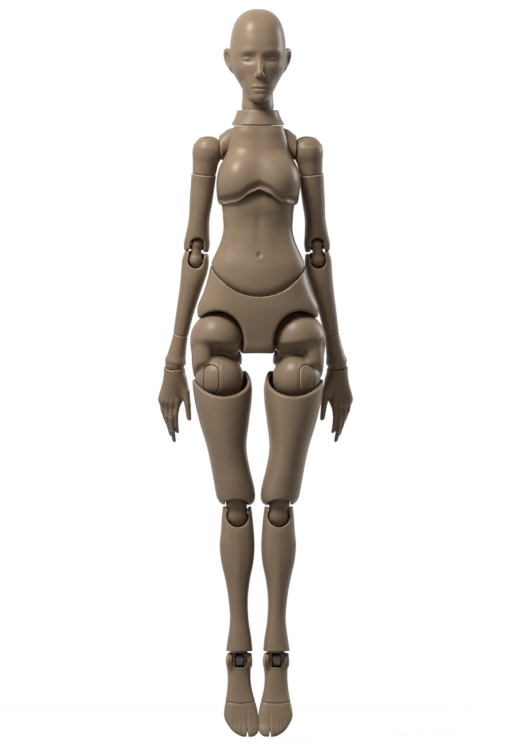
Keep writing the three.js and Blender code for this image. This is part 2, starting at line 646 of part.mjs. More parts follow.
const elbowLink = cut(
  join(ball(ORIGIN, ELBOW_BALL), bar(ORIGIN, elbowLow, ELBOW_NECK), ball(elbowLow, ELBOW_LOW_BALL)),
  pin(ORIGIN, FAR, ELBOW_PIN + GAP),
  swept(lowPinHole, elbowLow, [0, -1, 0], [FOREARM_OUT]),
);

// Forearm, drawn from the lower elbow hinge
const elbowLowRoom = ELBOW_LOW_BALL + GAP;
const twistCut = down(FOREARM_LENGTH);
const forearmSkin = loft(limb(ORIGIN, down(FOREARM_LENGTH - GAP / 2), FOREARM_ROWS), 12, 1);
const forearm = cut(
  forearmSkin.intersect(join(block([-FAR, -FAR, -FAR], [FAR, FAR, 0]), pin(ORIGIN, FAR, ELBOW_LOW_EAR))),
  ball(ORIGIN, elbowLowRoom),
  bar([0, -FAR, 0], ORIGIN, elbowLowRoom),
  block([-elbowLowRoom, -FAR, 0], [elbowLowRoom, FAR, FAR]),
  pin(ORIGIN, ELBOW_PIN_HALF + GAP, ELBOW_PIN + GAP),
  bar(twistCut, plus(twistCut, [0, 0, TWIST_PEG_LENGTH + GAP]), TWIST_PEG + GAP),
);

// Wrist cuff, drawn from the twist cut, and the hand with its peg, drawn from the wrist
const wrist = down(CUFF_LENGTH);
const wristSlot = [-90 + WRIST_FLEX[0], -90 + WRIST_FLEX[1]];
const wristCuff = cut(
  join(
    loft(limb(down(GAP / 2), wrist, CUFF_ROWS), 12, 1),
    ball(wrist, WRIST_RADIUS),
    bar(down(PEG_ROOT), [0, 0, TWIST_PEG_LENGTH], TWIST_PEG),
  ),
  ball(wrist, WRIST_BALL + GAP),
  swingSlot(wrist, WRIST_RADIUS + PAST, WRIST_SHAFT + GAP, wristSlot, false),
);
const wristPeg = join(ball(ORIGIN, WRIST_BALL), bar(ORIGIN, down(WRIST_SHAFT_LENGTH), WRIST_SHAFT));
const hand = cut(
  join(loft(PALM_SECTIONS, 12, 1), FINGERS.map(finger)),
  ball(ORIGIN, WRIST_RADIUS + GAP),
  bar(ORIGIN, down(WRIST_SHAFT_LENGTH + GAP), WRIST_SHAFT + GAP),
);

// Hip peg and upper thigh, in the figure frame
const hipPeg = join(ball(HIP, HIP_BALL), bar(plus(HIP, [-HIP_SHAFT_LENGTH, 0, 0]), HIP, HIP_SHAFT));
function capPlate(extra, from) {
  const radius = CAP.half + extra;
  const arc = (range, z) => steps(range, 6).map((angle) => {
    const point = ray(angle, radius, 0);
    return [CAP.x + point.x, z + point.y];
  });
  const top = arc([0, 180], CAP.top - CAP.half);
  const bottom = arc([180, 360], CAP.bottom + CAP.half);
  return plateXZ([...top, ...bottom], -FAR, from);
}
const thighJointCap = capPlate(0, -CAP.depth).intersect(ball(THIGH, THIGH_RADIUS));
const thighPinHalf = THIGH_RADIUS + THIGH_PIN_PROUD;
const upperThigh = cut(
  join(ball(HIP, HIP_RADIUS), ball(THIGH, THIGH_RADIUS), loft(BRIDGE_SECTIONS, 14, 1)),
  ball(HIP, HIP_BALL + GAP),
  swingSlot(HIP, HIP_RADIUS + PAST, HIP_SHAFT + GAP, [180 - HIP_SPREAD[1], 180 - HIP_SPREAD[0]], true),
  capPlate(GAP, -CAP.depth + GAP),
  pin(THIGH, FAR, THIGH_PIN + GAP),
);

// Thigh with its cup and knee fork, and the knee link
const rimFront = CUP_RIM.side - CUP_RIM.frontSlope * (FAR - CUP_RIM.flat);
const rimBack = CUP_RIM.side - CUP_RIM.backSlope * (FAR - CUP_RIM.flat);
const rimShape = new THREE.Shape([
  new THREE.Vector2(-FAR, rimFront),
  new THREE.Vector2(-CUP_RIM.flat, CUP_RIM.side),
  new THREE.Vector2(CUP_RIM.flat, CUP_RIM.side),
  new THREE.Vector2(FAR, rimBack),
  new THREE.Vector2(FAR, FAR),
  new THREE.Vector2(-FAR, FAR),
]);
const rimCut = solid(
  new THREE.ExtrudeGeometry(rimShape, { depth: 2 * FAR, bevelEnabled: false })
    .rotateX(Math.PI / 2)
    .rotateZ(Math.PI / 2)
    .translate(-FAR, 0, 0),
);
const kneeRoom = KNEE_LOW_BALL + GAP;
const kneeReach = KNEE_TOP[2] - KNEE_LOW[2] + kneeRoom;
const thighSkin = loft(limb(THIGH, KNEE_TOP, THIGH_ROWS), 18, 1);
const thigh = cut(
  thighSkin.intersect(join(block([-FAR, -FAR, KNEE_TOP[2]], [FAR, FAR, FAR]), pin(KNEE_TOP, FAR, KNEE_EAR))),
  rimCut,
  ball(THIGH, THIGH_RADIUS + GAP),
  ball(KNEE_TOP, KNEE_BALL + GAP),
  swingSlot(KNEE_TOP, kneeReach, kneeRoom, [-90 + KNEE_BEND[0], -90 + KNEE_BEND[1]], false),
  pin(THIGH, thighPinHalf + GAP, THIGH_PIN + GAP),
  pin(KNEE_TOP, KNEE_PIN_HALF + GAP, KNEE_PIN + GAP),
);
const thighPin = pin(THIGH, thighPinHalf, THIGH_PIN);
const kneeLink = cut(
  join(ball(KNEE_TOP, KNEE_BALL), bar(KNEE_TOP, KNEE_LOW, KNEE_NECK), ball(KNEE_LOW, KNEE_LOW_BALL)),
  pin(KNEE_TOP, FAR, KNEE_PIN + GAP),
  pin(KNEE_LOW, FAR, KNEE_PIN + GAP),
);
const kneePinTop = pin(KNEE_TOP, KNEE_PIN_HALF, KNEE_PIN);
const kneePinLow = pin(KNEE_LOW, KNEE_LOW_PIN_HALF, KNEE_PIN);

// Shin with its knee fork, and the ankle link
const ankleSlotHalf = ANKLE_DISC_HALF + GAP;
const shinSkin = loft(limb(KNEE_LOW, ANKLE, SHIN_ROWS), 14, 1);
const belowKnee = block([-FAR, -FAR, -3 * FAR], [FAR, FAR, KNEE_LOW[2]]);
const ankleSlotLow = [-ANKLE_DISC - GAP, -ankleSlotHalf, -FAR];
const ankleSlotHigh = [ANKLE_DISC + GAP, ankleSlotHalf, 0];
const shin = cut(
  shinSkin.intersect(join(belowKnee, pin(KNEE_LOW, FAR, KNEE_LOW_EAR))),
  ball(KNEE_LOW, kneeRoom),
  swingSlot(KNEE_LOW, kneeReach, kneeRoom, [90 - KNEE_BEND[1], 90 - KNEE_BEND[0]], false),
  bar(plus(KNEE_LOW, [0, -FAR, 0]), KNEE_LOW, kneeRoom),
  pin(KNEE_LOW, KNEE_LOW_PIN_HALF + GAP, KNEE_PIN + GAP),
  bar(plus(ANKLE_TILT, [0, -ankleSlotHalf, 0]), plus(ANKLE_TILT, [0, ankleSlotHalf, 0]), ANKLE_DISC + GAP),
  block(plus(ANKLE_TILT, ankleSlotLow), plus(ANKLE_TILT, ankleSlotHigh)),
  ball(ANKLE, ANKLE_BALL + GAP + ANKLE_HOLLOW),
);
const ankleLink = cut(
  join(
    bar(plus(ANKLE_TILT, [0, -ANKLE_DISC_HALF, 0]), plus(ANKLE_TILT, [0, ANKLE_DISC_HALF, 0]), ANKLE_DISC),
    bar(ANKLE, ANKLE_TILT, ANKLE_NECK),
    ball(ANKLE, ANKLE_BALL),
  ),
  pin(ANKLE, FAR, ANKLE_PIN + GAP),
);

// Foot and toe, drawn flat from the ankle
const footLoft = loftShape(FOOT_ROWS, 14, 1, 2.2).rotateX(Math.PI / 2);
const footSkin = cut(solid(footLoft), block([-FAR, -FAR, -FAR], [FAR, FAR, SOLE]));
const shinLean = [90 - FOOT_POINT + ANKLE_FLEX[0], 90 - FOOT_POINT + ANKLE_FLEX[1]];
const linkHalf = ANKLE_BALL + GAP;
const upFront = ray(FOOT_POINT, FAR, 0);
const aheadOfHinge = block([-FAR, -FAR, -FAR], [FAR, TOE_HINGE[1], FAR]);
const tongueRoom = TOE_TONGUE_HALF + GAP;
const tongueLow = [-TOE_TONGUE_HALF, 0, -TOE_TONGUE_DEEP];
const tongueHigh = [TOE_TONGUE_HALF, TOE_TONGUE_LONG, TOE_TONGUE_DEEP];
const foot = cut(
  join(
    cut(footSkin, aheadOfHinge, pin(TOE_HINGE, FAR, TOE_KNUCKLE + GAP)),
    pin(TOE_HINGE, TOE_TONGUE_HALF, TOE_KNUCKLE - GAP),
    block(plus(TOE_HINGE, tongueLow), plus(TOE_HINGE, tongueHigh)),
  ),
  ball(ORIGIN, ANKLE_BALL + GAP),
  bar(ORIGIN, [0, -upFront.x, upFront.y], ANKLE_BALL + GAP),
  swingRoom(ANKLE_BALL - GAP, FAR / 3, SHIN_END_DEPTH, FAR / 2, shinLean),
  swingSlot(ORIGIN, FAR / 3, linkHalf, shinLean, false),
  pin(ORIGIN, ANKLE_PIN_HALF + GAP, ANKLE_PIN + GAP),
  pin(TOE_HINGE, TOE_PIN_HALF, TOE_PIN + GAP),
);
const splitHalf = TOE_SPLIT.wide / 2;
const toe = cut(
  footSkin.intersect(join(aheadOfHinge, pin(TOE_HINGE, FAR, TOE_KNUCKLE))),
  pin(TOE_HINGE, tongueRoom, TOE_KNUCKLE),
  block(plus(TOE_HINGE, [-tongueRoom, 0, -FAR]), plus(TOE_HINGE, [tongueRoom, FAR, FAR])),
  pin(TOE_HINGE, TOE_PIN_HALF + GAP, TOE_PIN + GAP),
  block([TOE_SPLIT.x - splitHalf, -FAR, -FAR], [TOE_SPLIT.x + splitHalf, -TOE_SPLIT.from, FAR]),
);

// One named mesh from a solid
function mesh(name, body, finish) {
  const { vertProperties, triVerts } = body.simplify(SLIVER).getMesh();
  const geometry = new THREE.BufferGeometry();
  geometry.setAttribute("position", new THREE.BufferAttribute(Float32Array.from(vertProperties), 3));
  geometry.setIndex(new THREE.BufferAttribute(Uint32Array.from(triVerts), 1));
  geometry.computeVertexNormals();
  const made = new THREE.Mesh(geometry, new THREE.MeshStandardMaterial(finish));
  made.name = name;
  return made;
}

// A joint: a group at the joint centre that turns about one of its axes
function pivot(parent, name, at, axis, turn = [0, 0, 0]) {
  const group = new THREE.Group();
  group.name = name;
  group.position.set(...at);
  group.rotation.set(...turn.map(THREE.MathUtils.degToRad));
  group.userData.axis = axis;
  parent.add(group);
  return group;
}
const from = (inner, outer) => inner.map((value, i) => value - outer[i]);
// Pieces drawn in the figure frame hang under a joint whose centre is given
function hang(joint, centre, ...meshes) {
  for (const made of meshes) {
    made.position.set(...centre.map((value) => -value));
    joint.add(made);
  }
}

const FORWARD = [1, 0, 0];
const SWING = [-1, 0, 0];
const OUTWARD = [0, -1, 0];
const TURN = [0, 0, 1];

function addArm(chestJoint, side) {
  const rig = new THREE.Group();
  rig.position.set(...CHEST.map((value) => -value));
  chestJoint.add(rig);
  const name = (word) => `${side}_${word}`;
  const shrug = pivot(rig, name("shrug"), COLLARBONE, OUTWARD);
  hang(shrug, COLLARBONE, mesh(name("clavicle"), clavicle, SKIN));
  const swing = pivot(shrug, name("arm_swing"), from(SHOULDER, COLLARBONE), SWING, [ARM_BACK, 0, 0]);
  swing.add(mesh(name("shoulder_hinge"), shoulderHinge, JOINT));
  const raise = pivot(swing, name("arm_raise"), ORIGIN, OUTWARD, [0, -ARM_OUT, 0]);
  raise.add(mesh(name("deltoid"), deltoid, SKIN));
  const swivel = pivot(raise, name("arm_swivel"), down(DELTOID_LENGTH), TURN);
  const upperPin = mesh(name("elbow_pin_upper"), elbowPin, STEEL);
  upperPin.position.set(...elbowTop);
  swivel.add(mesh(name("upper_arm"), upperArm, SKIN), upperPin);
  const elbowUpper = pivot(swivel, name("elbow_upper"), elbowTop, SWING);
  elbowUpper.add(mesh(name("elbow_link"), elbowLink, JOINT));
  const elbowLower = pivot(elbowUpper, name("elbow_lower"), elbowLow, SWING, [0, -FOREARM_OUT, 0]);
  elbowLower.add(mesh(name("forearm"), forearm, SKIN), mesh(name("elbow_pin_lower"), elbowPin, STEEL));
  const twist = pivot(elbowLower, name("forearm_twist"), twistCut, TURN);
  twist.add(mesh(name("wrist_cuff"), wristCuff, SKIN));
  const flex = pivot(twist, name("wrist_flex"), wrist, SWING);
  flex.add(mesh(name("hand"), hand, SKIN), mesh(name("wrist_peg"), wristPeg, JOINT));
  return rig;
}

function addLeg(pelvisJoint, side) {
  const rig = new THREE.Group();
  pelvisJoint.add(rig);
  const name = (word) => `${side}_${word}`;
  const swing = pivot(rig, name("hip_swing"), HIP, SWING);
  hang(swing, HIP, mesh(name("hip_peg"), hipPeg, JOINT));
  const spread = pivot(swing, name("hip_spread"), ORIGIN, OUTWARD);
  const cap = mesh(name("thigh_joint_cap"), thighJointCap, SKIN);
  hang(spread, HIP, mesh(name("upper_thigh"), upperThigh, SKIN), cap);
  const lift = pivot(spread, name("thigh_lift"), from(THIGH, HIP), SWING);
  const shell = mesh(name("thigh"), thigh, SKIN);
  const kneeUpperPin = mesh(name("knee_pin_upper"), kneePinTop, STEEL);
  hang(lift, THIGH, shell, mesh(name("thigh_hinge_pin"), thighPin, STEEL), kneeUpperPin);
  const kneeUpper = pivot(lift, name("knee_upper"), from(KNEE_TOP, THIGH), FORWARD);
  hang(kneeUpper, KNEE_TOP, mesh(name("knee_link"), kneeLink, JOINT));
  const kneeLower = pivot(kneeUpper, name("knee_lower"), from(KNEE_LOW, KNEE_TOP), FORWARD);
  hang(kneeLower, KNEE_LOW, mesh(name("shin"), shin, SKIN), mesh(name("knee_pin_lower"), kneePinLow, STEEL));
  const tilt = pivot(kneeLower, name("ankle_tilt"), from(ANKLE_TILT, KNEE_LOW), OUTWARD);
  hang(tilt, ANKLE_TILT, mesh(name("ankle_link"), ankleLink, DARK_METAL));
  const flex = pivot(tilt, name("ankle_flex"), from(ANKLE, ANKLE_TILT), SWING, [FOOT_POINT, 0, 0]);
  const toePin = mesh(name("toe_pin"), pin(TOE_HINGE, TOE_PIN_HALF - GAP, TOE_PIN), STEEL);
  const anklePin = mesh(name("ankle_pin"), pin(ORIGIN, ANKLE_PIN_HALF, ANKLE_PIN), STEEL);
  flex.add(mesh(name("foot"), foot, SKIN), anklePin, toePin);
  const bend = pivot(flex, name("toe_bend"), TOE_HINGE, SWING);
  hang(bend, TOE_HINGE, mesh(name("toe"), toe, SKIN));
  return rig;
}

const figure = new THREE.Group();
figure.name = "action_figure_body";
figure.add(mesh("pelvis", pelvis, SKIN));
const waistTwist = pivot(figure, "waist_twist", WAIST, TURN);
hang(waistTwist, WAIST, mesh("waist_ball_peg", waistPeg, JOINT));
const waistBend = pivot(waistTwist, "waist_bend", ORIGIN, FORWARD);
hang(waistBend, WAIST, mesh("abdomen", abdomen, SKIN));
const chestBend = pivot(waistBend, "chest_bend", from(CHEST, WAIST), FORWARD);
hang(chestBend, CHEST, mesh("chest_front", chestFront, SKIN), mesh("chest_back", chestBack, SKIN));
hang(chestBend, CHEST, mesh("chest_ball_peg", chestPeg, JOINT), mesh("neck_collar", collar, SKIN));
const neckTilt = pivot(chestBend, "neck_tilt", from(NECK, CHEST), FORWARD);
hang(neckTilt, NECK, mesh("neck", neck, SKIN));
const headNod = pivot(neckTilt, "head_nod", from(HEAD, NECK), FORWARD);
hang(headNod, HEAD, mesh("head_peg", headPeg, JOINT));
const headTurn = pivot(headNod, "head_turn", ORIGIN, TURN);
hang(headTurn, HEAD, mesh("head", head, SKIN));
addArm(chestBend, "left");
addArm(chestBend, "right").scale.x = -1;
addLeg(figure, "left");
addLeg(figure, "right").scale.x = -1;

export default figure;
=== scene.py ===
"""Looks of a jointed one-sixth scale action figure body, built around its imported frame.

A skin is a distance field on a grid: oval sections carried along a limb, swollen by soft bumps, joined with
fillets and carved by the sockets of its joints. The field's zero surface is the mesh, because the sockets,
forks and rounded lips of these pieces can't be drawn on one two-parameter grid. Pegs and pins are profiles
turned about an axis. Shapes are in millimetres, the figure faces -Y and +X is its own left.
"""
import json
import logging
import math
from dataclasses import dataclass
from enum import Enum
from typing import Any, Callable, Iterable, Optional, Sequence

import bpy
import numpy as np
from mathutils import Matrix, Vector

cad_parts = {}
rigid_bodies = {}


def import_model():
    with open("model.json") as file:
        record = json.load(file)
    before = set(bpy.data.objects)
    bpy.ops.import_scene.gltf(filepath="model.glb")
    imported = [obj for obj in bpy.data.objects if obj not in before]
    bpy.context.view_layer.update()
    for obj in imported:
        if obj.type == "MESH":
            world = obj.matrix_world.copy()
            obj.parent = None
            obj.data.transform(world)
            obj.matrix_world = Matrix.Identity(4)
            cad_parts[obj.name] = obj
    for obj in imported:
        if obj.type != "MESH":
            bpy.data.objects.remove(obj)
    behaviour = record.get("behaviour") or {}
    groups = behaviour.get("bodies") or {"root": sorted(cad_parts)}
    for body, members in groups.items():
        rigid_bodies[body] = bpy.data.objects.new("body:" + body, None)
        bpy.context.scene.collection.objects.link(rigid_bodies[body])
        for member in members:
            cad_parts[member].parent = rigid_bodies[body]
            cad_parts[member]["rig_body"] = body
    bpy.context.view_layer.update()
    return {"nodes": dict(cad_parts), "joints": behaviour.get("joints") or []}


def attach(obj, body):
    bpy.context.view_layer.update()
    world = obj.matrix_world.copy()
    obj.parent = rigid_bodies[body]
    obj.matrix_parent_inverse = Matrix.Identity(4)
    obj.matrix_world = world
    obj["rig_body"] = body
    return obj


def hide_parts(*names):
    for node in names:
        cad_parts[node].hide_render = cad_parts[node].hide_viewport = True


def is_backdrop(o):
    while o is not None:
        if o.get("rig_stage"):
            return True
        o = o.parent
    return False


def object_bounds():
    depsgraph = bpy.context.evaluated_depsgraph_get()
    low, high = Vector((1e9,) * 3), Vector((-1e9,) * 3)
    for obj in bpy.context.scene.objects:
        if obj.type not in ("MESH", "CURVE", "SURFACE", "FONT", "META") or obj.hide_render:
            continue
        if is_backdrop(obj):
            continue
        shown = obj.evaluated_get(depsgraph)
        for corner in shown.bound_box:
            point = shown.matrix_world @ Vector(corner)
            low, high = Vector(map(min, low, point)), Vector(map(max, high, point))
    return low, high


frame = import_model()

LOG = logging.getLogger("figure")
MM = 0.001
TINY = 1e-3
GRID_MARGIN = 3.0
SMOOTHING_ROUNDS = 3
LATHE_SIDES = 40
# Room round a pin, and half the length of a hole that goes right through a piece
PIN_PLAY = 0.1
THROUGH = 9.0
X_AXIS = np.array([1.0, 0, 0])
Z_AXIS = np.array([0, 0, 1.0])
Field = np.ndarray
Axes = tuple[np.ndarray, np.ndarray, np.ndarray]
Point = Sequence[float]
Rows = Sequence[Sequence[float]]
Bumps = Sequence[tuple[Point, Point, float]]


class Direction(Enum):
    """The three directions of a grid, as indices."""

    ACROSS = 0
    DEPTH = 1
    UP = 2


# Distance fields: negative inside a piece, in millimetres


def spline(stations: np.ndarray, values: np.ndarray, at: np.ndarray) -> np.ndarray:
    """Smooth curve through values: cubic pieces whose end slopes are those of their neighbours.

    Args:
        stations: rising places at which the values are given.
        values: one value for each station.
        at: places to work out, held at the first and last station beyond them.

    Returns:
        The curve's value at each place.
    """
    slopes = np.gradient(values, stations)
    piece = np.clip(np.searchsorted(stations, at) - 1, 0, len(stations) - 2)
    span = stations[piece + 1] - stations[piece]
    share = np.clip((at - stations[piece]) / span, 0, 1)
    rest = 1 - share
    start = values[piece] * (1 + 2 * share) * rest**2 + span * slopes[piece] * share * rest**2
    end = values[piece + 1] * share**2 * (3 - 2 * share) - span * slopes[piece + 1] * share**2 * rest
    return (start + end).astype(np.float32)


def loft(along: Field, across: Field, depth: Field, rows: Rows, power: float = 2.0) -> Field:
    """Oval sections carried along a direction, flat at both ends: rounded radius less one, over its slope.

    Args:
        along: coordinate along which the sections follow each other.
        across: coordinate of the half widths.
        depth: coordinate of the front and back depths.
        rows: station, centre across, centre in depth, half width, front and back of each section.
        power: 2 for an ellipse, more for a squarer oval.

    Returns:
        The distance to the lofted skin.
    """
    table = np.array(sorted(rows), np.float32)
    centre, middle, half, front, back = (spline(table[:, 0], column, along) for column in table[:, 1:].T)
    side = np.abs(across - centre) / half + TINY
    offset = depth - middle
    reach = np.where(offset < 0, front, back)
    level = np.abs(offset) / reach + TINY
    radius = (side**power + level**power) ** (1 / power)
    slope = np.sqrt((side ** (power - 1) / half) ** 2 + (level ** (power - 1) / reach) ** 2)
    ends = np.maximum(table[0, 0] - along, along - table[-1, 0])
    return np.maximum((radius - 1) * radius ** (power - 1) / slope, ends)


def ball(p: Axes, centre: Point, radius: float) -> Field:
    """Ball: distance from the centre less the radius."""
    return np.sqrt(sum((axis - c) ** 2 for axis, c in zip(p, centre))) - radius


def egg(p: Axes, centre: Point, radii: Point, power: float = 2.0) -> Field:
    """Egg with three radii: its rounded radius less one, over its slope.

    Args:
        p: three coordinates, or two for an oval in a plane.
        centre: the egg's middle.
        radii: half its length along each coordinate.
        power: 2 for an ellipsoid, more for a squarer egg.

    Returns:
        The distance to the egg's skin.
    """
    shares = [np.abs(axis - c) / r + TINY for axis, c, r in zip(p, centre, radii)]
    radius = sum(share**power for share in shares) ** (1 / power)
    slope = np.sqrt(sum((share ** (power - 1) / r) ** 2 for share, r in zip(shares, radii)))
    return (radius - 1) * radius ** (power - 1) / slope


def oval(u: Field, v: Field, centre: Point, radii: Point) -> Field:
    """Oval hole in a plane, drawn out along the third direction."""
    return egg((u, v), centre, radii)


def bar(p: Axes, start: Point, end: Point, radius: float, end_radius: Optional[float] = None) -> Field:
    """Round-ended bar that may taper: distance from its line less the radius there.

    Args:
        p: the grid's coordinates in millimetres.
        start: the middle of one end.
        end: the middle of the other end.
        radius: radius at the start.
        end_radius: radius at the end, the same if left out.

    Returns:
        The distance to the bar's skin.
    """
    way = [e - s for s, e in zip(start, end)]
    length = sum(w * w for w in way)
    share = sum((axis - s) * w for axis, s, w in zip(p, start, way)) / length
    share = np.clip(share, 0, 1)
    off = sum((axis - s - share * w) ** 2 for axis, s, w in zip(p, start, way))
    taper = 0.0 if end_radius is None else end_radius - radius
    return np.sqrt(off) - radius - taper * share


def rod(p: Axes, direction: Direction, centre: Point, radius: float, low: float, high: float) -> Field:
    """Flat-ended round rod along one direction of the grid, from low to high.

    Args:
        p: the grid's coordinates in millimetres.
        direction: the grid's direction that the rod follows.
        centre: a point on its axis.
        radius: its radius.
        low: where it begins.
        high: where it ends.

    Returns:
        The distance to the rod's skin.
    """
    others = [i for i in range(3) if i != direction.value]
    off = np.sqrt(sum((p[i] - centre[i]) ** 2 for i in others)) - radius
    along = p[direction.value]
    return np.maximum(off, np.maximum(low - along, along - high))


def fan(u: Field, v: Field, at: Point, reach: float, half: float, angles: Iterable[float]) -> Field:
    """Room of a bar that swings in a plane: the least distance to its line at any angle, less half its width.

    Args:
        u: first coordinate of the plane.
        v: second coordinate of the plane.
        at: the point that the bar swings about.
        reach: the bar's length.
        half: half its width.
        angles: its angles in degrees, from u towards v.

    Returns:
        The distance to the edge of that room.
    """
    found = None
    for angle in angles:
        way = (math.cos(math.radians(angle)), math.sin(math.radians(angle)))
        along = np.clip((u - at[0]) * way[0] + (v - at[1]) * way[1], 0, reach)
        off = np.sqrt((u - at[0] - along * way[0]) ** 2 + (v - at[1] - along * way[1]) ** 2) - half
        found = off if found is None else np.minimum(found, off)
    return found


def swing(p: Axes, at: Point, reach: float, radius: float, angles: Iterable[float]) -> Field:
    """Room of a round bar that nods: the least distance to the bar at each angle from +Y towards +Z.

    Args:
        p: the grid's coordinates in millimetres.
        at: the point that the bar nods about.
        reach: the bar's length.
        radius: its radius.
        angles: its angles in degrees.

    Returns:
        The distance to the edge of that room.
    """
    ways = [(0, math.cos(math.radians(a)), math.sin(math.radians(a))) for a in angles]
    bars = [bar(p, at, [c + reach * w for c, w in zip(at, way)], radius) for way in ways]
    return np.minimum.reduce(bars)


def peg_room(p: Axes, at: Point, reach: float, half: float, angles: Iterable[float], socket: float) -> Field:
    """Room of a ball peg that nods: its shaft at each angle from +Y towards +Z, and its ball."""
    slot = np.maximum(fan(p[1], p[2], at[1:], reach, half, angles), np.abs(p[0]) - half)
    return np.minimum(slot, ball(p, at, socket))


def pin_hole(p: Axes, centre: Point, radius: float, half: float = THROUGH) -> Field:
    """Hole across the figure for a pin, with a little play."""
    return rod(p, Direction.ACROSS, centre, radius + PIN_PLAY, centre[0] - half, centre[0] + half)


def fork_end(u: Field, v: Field, drawn: float, ear: float) -> Field:
    """Outline of a fork's end: a round ear, drawn out to an oval on the positive side of u."""
    reach = np.where(u > 0, drawn, ear)
    return (np.sqrt((u / reach) ** 2 + (v / ear) ** 2) - 1) * ear


def merge(a: Field, b: Field, fillet: float) -> Field:
    """Two shapes joined with a round fillet: the lesser distance, eased where both are under the fillet."""
    near = np.sqrt(np.maximum(fillet - a, 0) ** 2 + np.maximum(fillet - b, 0) ** 2)
    return np.maximum(fillet, np.minimum(a, b)) - near


def trim(body: Field, keep: Field, lip: float) -> Field:
    """The part of a body inside another shape, with a round lip: the greater distance, eased at the edge."""
    near = np.sqrt(np.maximum(body + lip, 0) ** 2 + np.maximum(keep + lip, 0) ** 2)
    return np.minimum(-lip, np.maximum(body, keep)) + near


def carve(body: Field, tool: Field, lip: float) -> Field:
    """A body with a shape cut out of it and the cut's edge rounded."""
    return trim(body, -tool, lip)


def dumb_bell(p: Axes, ends: Rows, balls: Point, necks: Point, fillet: float, pin: float) -> Field:
    """Link of a double hinge: a ball on each pin and a neck between them.

    Args:
        p: the grid's coordinates in millimetres.
        ends: the centres of the two balls.
        balls: their radii.
        necks: the neck's radius at each ball.
        fillet: radius of the fillets between them.
        pin: radius of the pins.

    Returns:
        The distance to the link's skin.
    """
    body = merge(ball(p, ends[0], balls[0]), bar(p, *ends, *necks), fillet)
    body = merge(body, ball(p, ends[1], balls[1]), fillet)
    holes = np.minimum(pin_hole(p, ends[0], pin), pin_hole(p, ends[1], pin))
    return carve(body, holes, 0.1)


def swell(body: Field, p: Axes, centre: Point, spread: Point, height: float) -> Field:
    """A soft bump, or a hollow if the height is negative: a bell curve in each direction, multiplied."""
    bells = [np.exp(-(((axis - c) / s) ** 2)) for axis, c, s in zip(p, centre, spread)]
    return body - height * bells[0] * bells[1] * bells[2]


def mirror_axes(p: Axes) -> Axes:
    """The grid with both sides of the figure folded onto its left."""
    return np.abs(p[0]), p[1], p[2]


# From a field to a mesh


@dataclass(frozen=True)
class Grid:
    """A block of evenly spaced points."""

    low: np.ndarray
    counts: tuple[int, int, int]
    step: float

    @classmethod
    def around(cls, low: np.ndarray, high: np.ndarray, step: float) -> "Grid":
        """A grid that covers a box and a margin round it.

        Args:
            low: the box's lowest corner.
            high: its highest corner.
            step: spacing of the points in millimetres.

        Returns:
            The grid.
        """
        start = np.asarray(low) - GRID_MARGIN
        counts = np.ceil((np.asarray(high) + GRID_MARGIN - start) / step).astype(int) + 1
        return cls(start, tuple(int(n) for n in counts), step)

    def axes(self) -> Axes:
        """The coordinates along each direction, shaped so that sums of them fill the grid."""
        lines = [self.low[i] + self.step * np.arange(n, dtype=np.float32) for i, n in enumerate(self.counts)]
        return tuple(line.astype(np.float32) for line in np.ix_(*lines))

    def surface(self, values: Field) -> tuple[np.ndarray, np.ndarray]:
        """The zero surface: a point in each cell that it passes, at the mean of the cell's edge crossings.

        Args:
            values: the field at the grid's points.

        Returns:
            The points, and the four points round each grid edge that the surface crosses.
        """
        inside = values < 0
        nx, ny, nz = values.shape
        corners = [(i, j, k) for i in (0, 1) for j in (0, 1) for k in (0, 1)]
        blocks = (inside[i : nx - 1 + i, j : ny - 1 + j, k : nz - 1 + k] for i, j, k in corners)
        total = sum(block.astype(np.int8) for block in blocks)
        cells = np.argwhere((total > 0) & (total < 8))
        index = np.full(total.shape, -1, np.int32)
        index[tuple(cells.T)] = np.arange(len(cells), dtype=np.int32)
        sums = np.zeros((len(cells), 3))
        hits = np.zeros(len(cells))
        quads = []
        for axis in range(3):
            unit = np.eye(3, dtype=int)[axis]
            u, v = (axis + 1) % 3, (axis + 2) % 3
            for corner in (np.array(c) for c in corners if c[axis] == 0):
                first = values[tuple((cells + corner).T)]
                second = values[tuple((cells + corner + unit).T)]
                cross = (first < 0) != (second < 0)
                share = np.where(cross, first / np.where(cross, first - second, 1), 0)
                sums += cross[:, None] * (corner + share[:, None] * unit)
                hits += cross
            ahead = np.take(inside, range(1, inside.shape[axis]), axis)
            behind = np.take(inside, range(inside.shape[axis] - 1), axis)
            edges = np.argwhere(ahead != behind)
            shift_u, shift_v = np.eye(3, dtype=int)[u], np.eye(3, dtype=int)[v]
            ring = [edges - shift_u - shift_v, edges - shift_v, edges, edges - shift_u]
            quad = np.stack([index[tuple(cell.T)] for cell in ring], 1)
            solid_behind = behind[tuple(edges.T)]
            quads.append(np.where(solid_behind[:, None], quad, quad[:, ::-1]))
        points = self.low + self.step * (cells + sums / hits[:, None])
        return points, np.concatenate(quads)


def neighbours(quads: np.ndarray) -> tuple[np.ndarray, np.ndarray]:
    """Each point beside each point that a quad's edge joins it to."""
    here, there = quads[:, [0, 1, 2, 3, 1, 2, 3, 0]], quads[:, [1, 2, 3, 0, 0, 1, 2, 3]]
    return here.ravel(), there.ravel()


def mean_step(points: np.ndarray, quads: np.ndarray) -> np.ndarray:
    """The way from each point to the mean of its neighbours.

    Args:
        points: the mesh's points.
        quads: the four points of each face.

    Returns:
        One row for each point.
    """
    here, there = neighbours(quads)
    count = np.bincount(here, minlength=len(points))
    sums = [np.bincount(here, points[there, i], len(points)) for i in range(3)]
    return np.stack(sums, 1) / count[:, None] - points


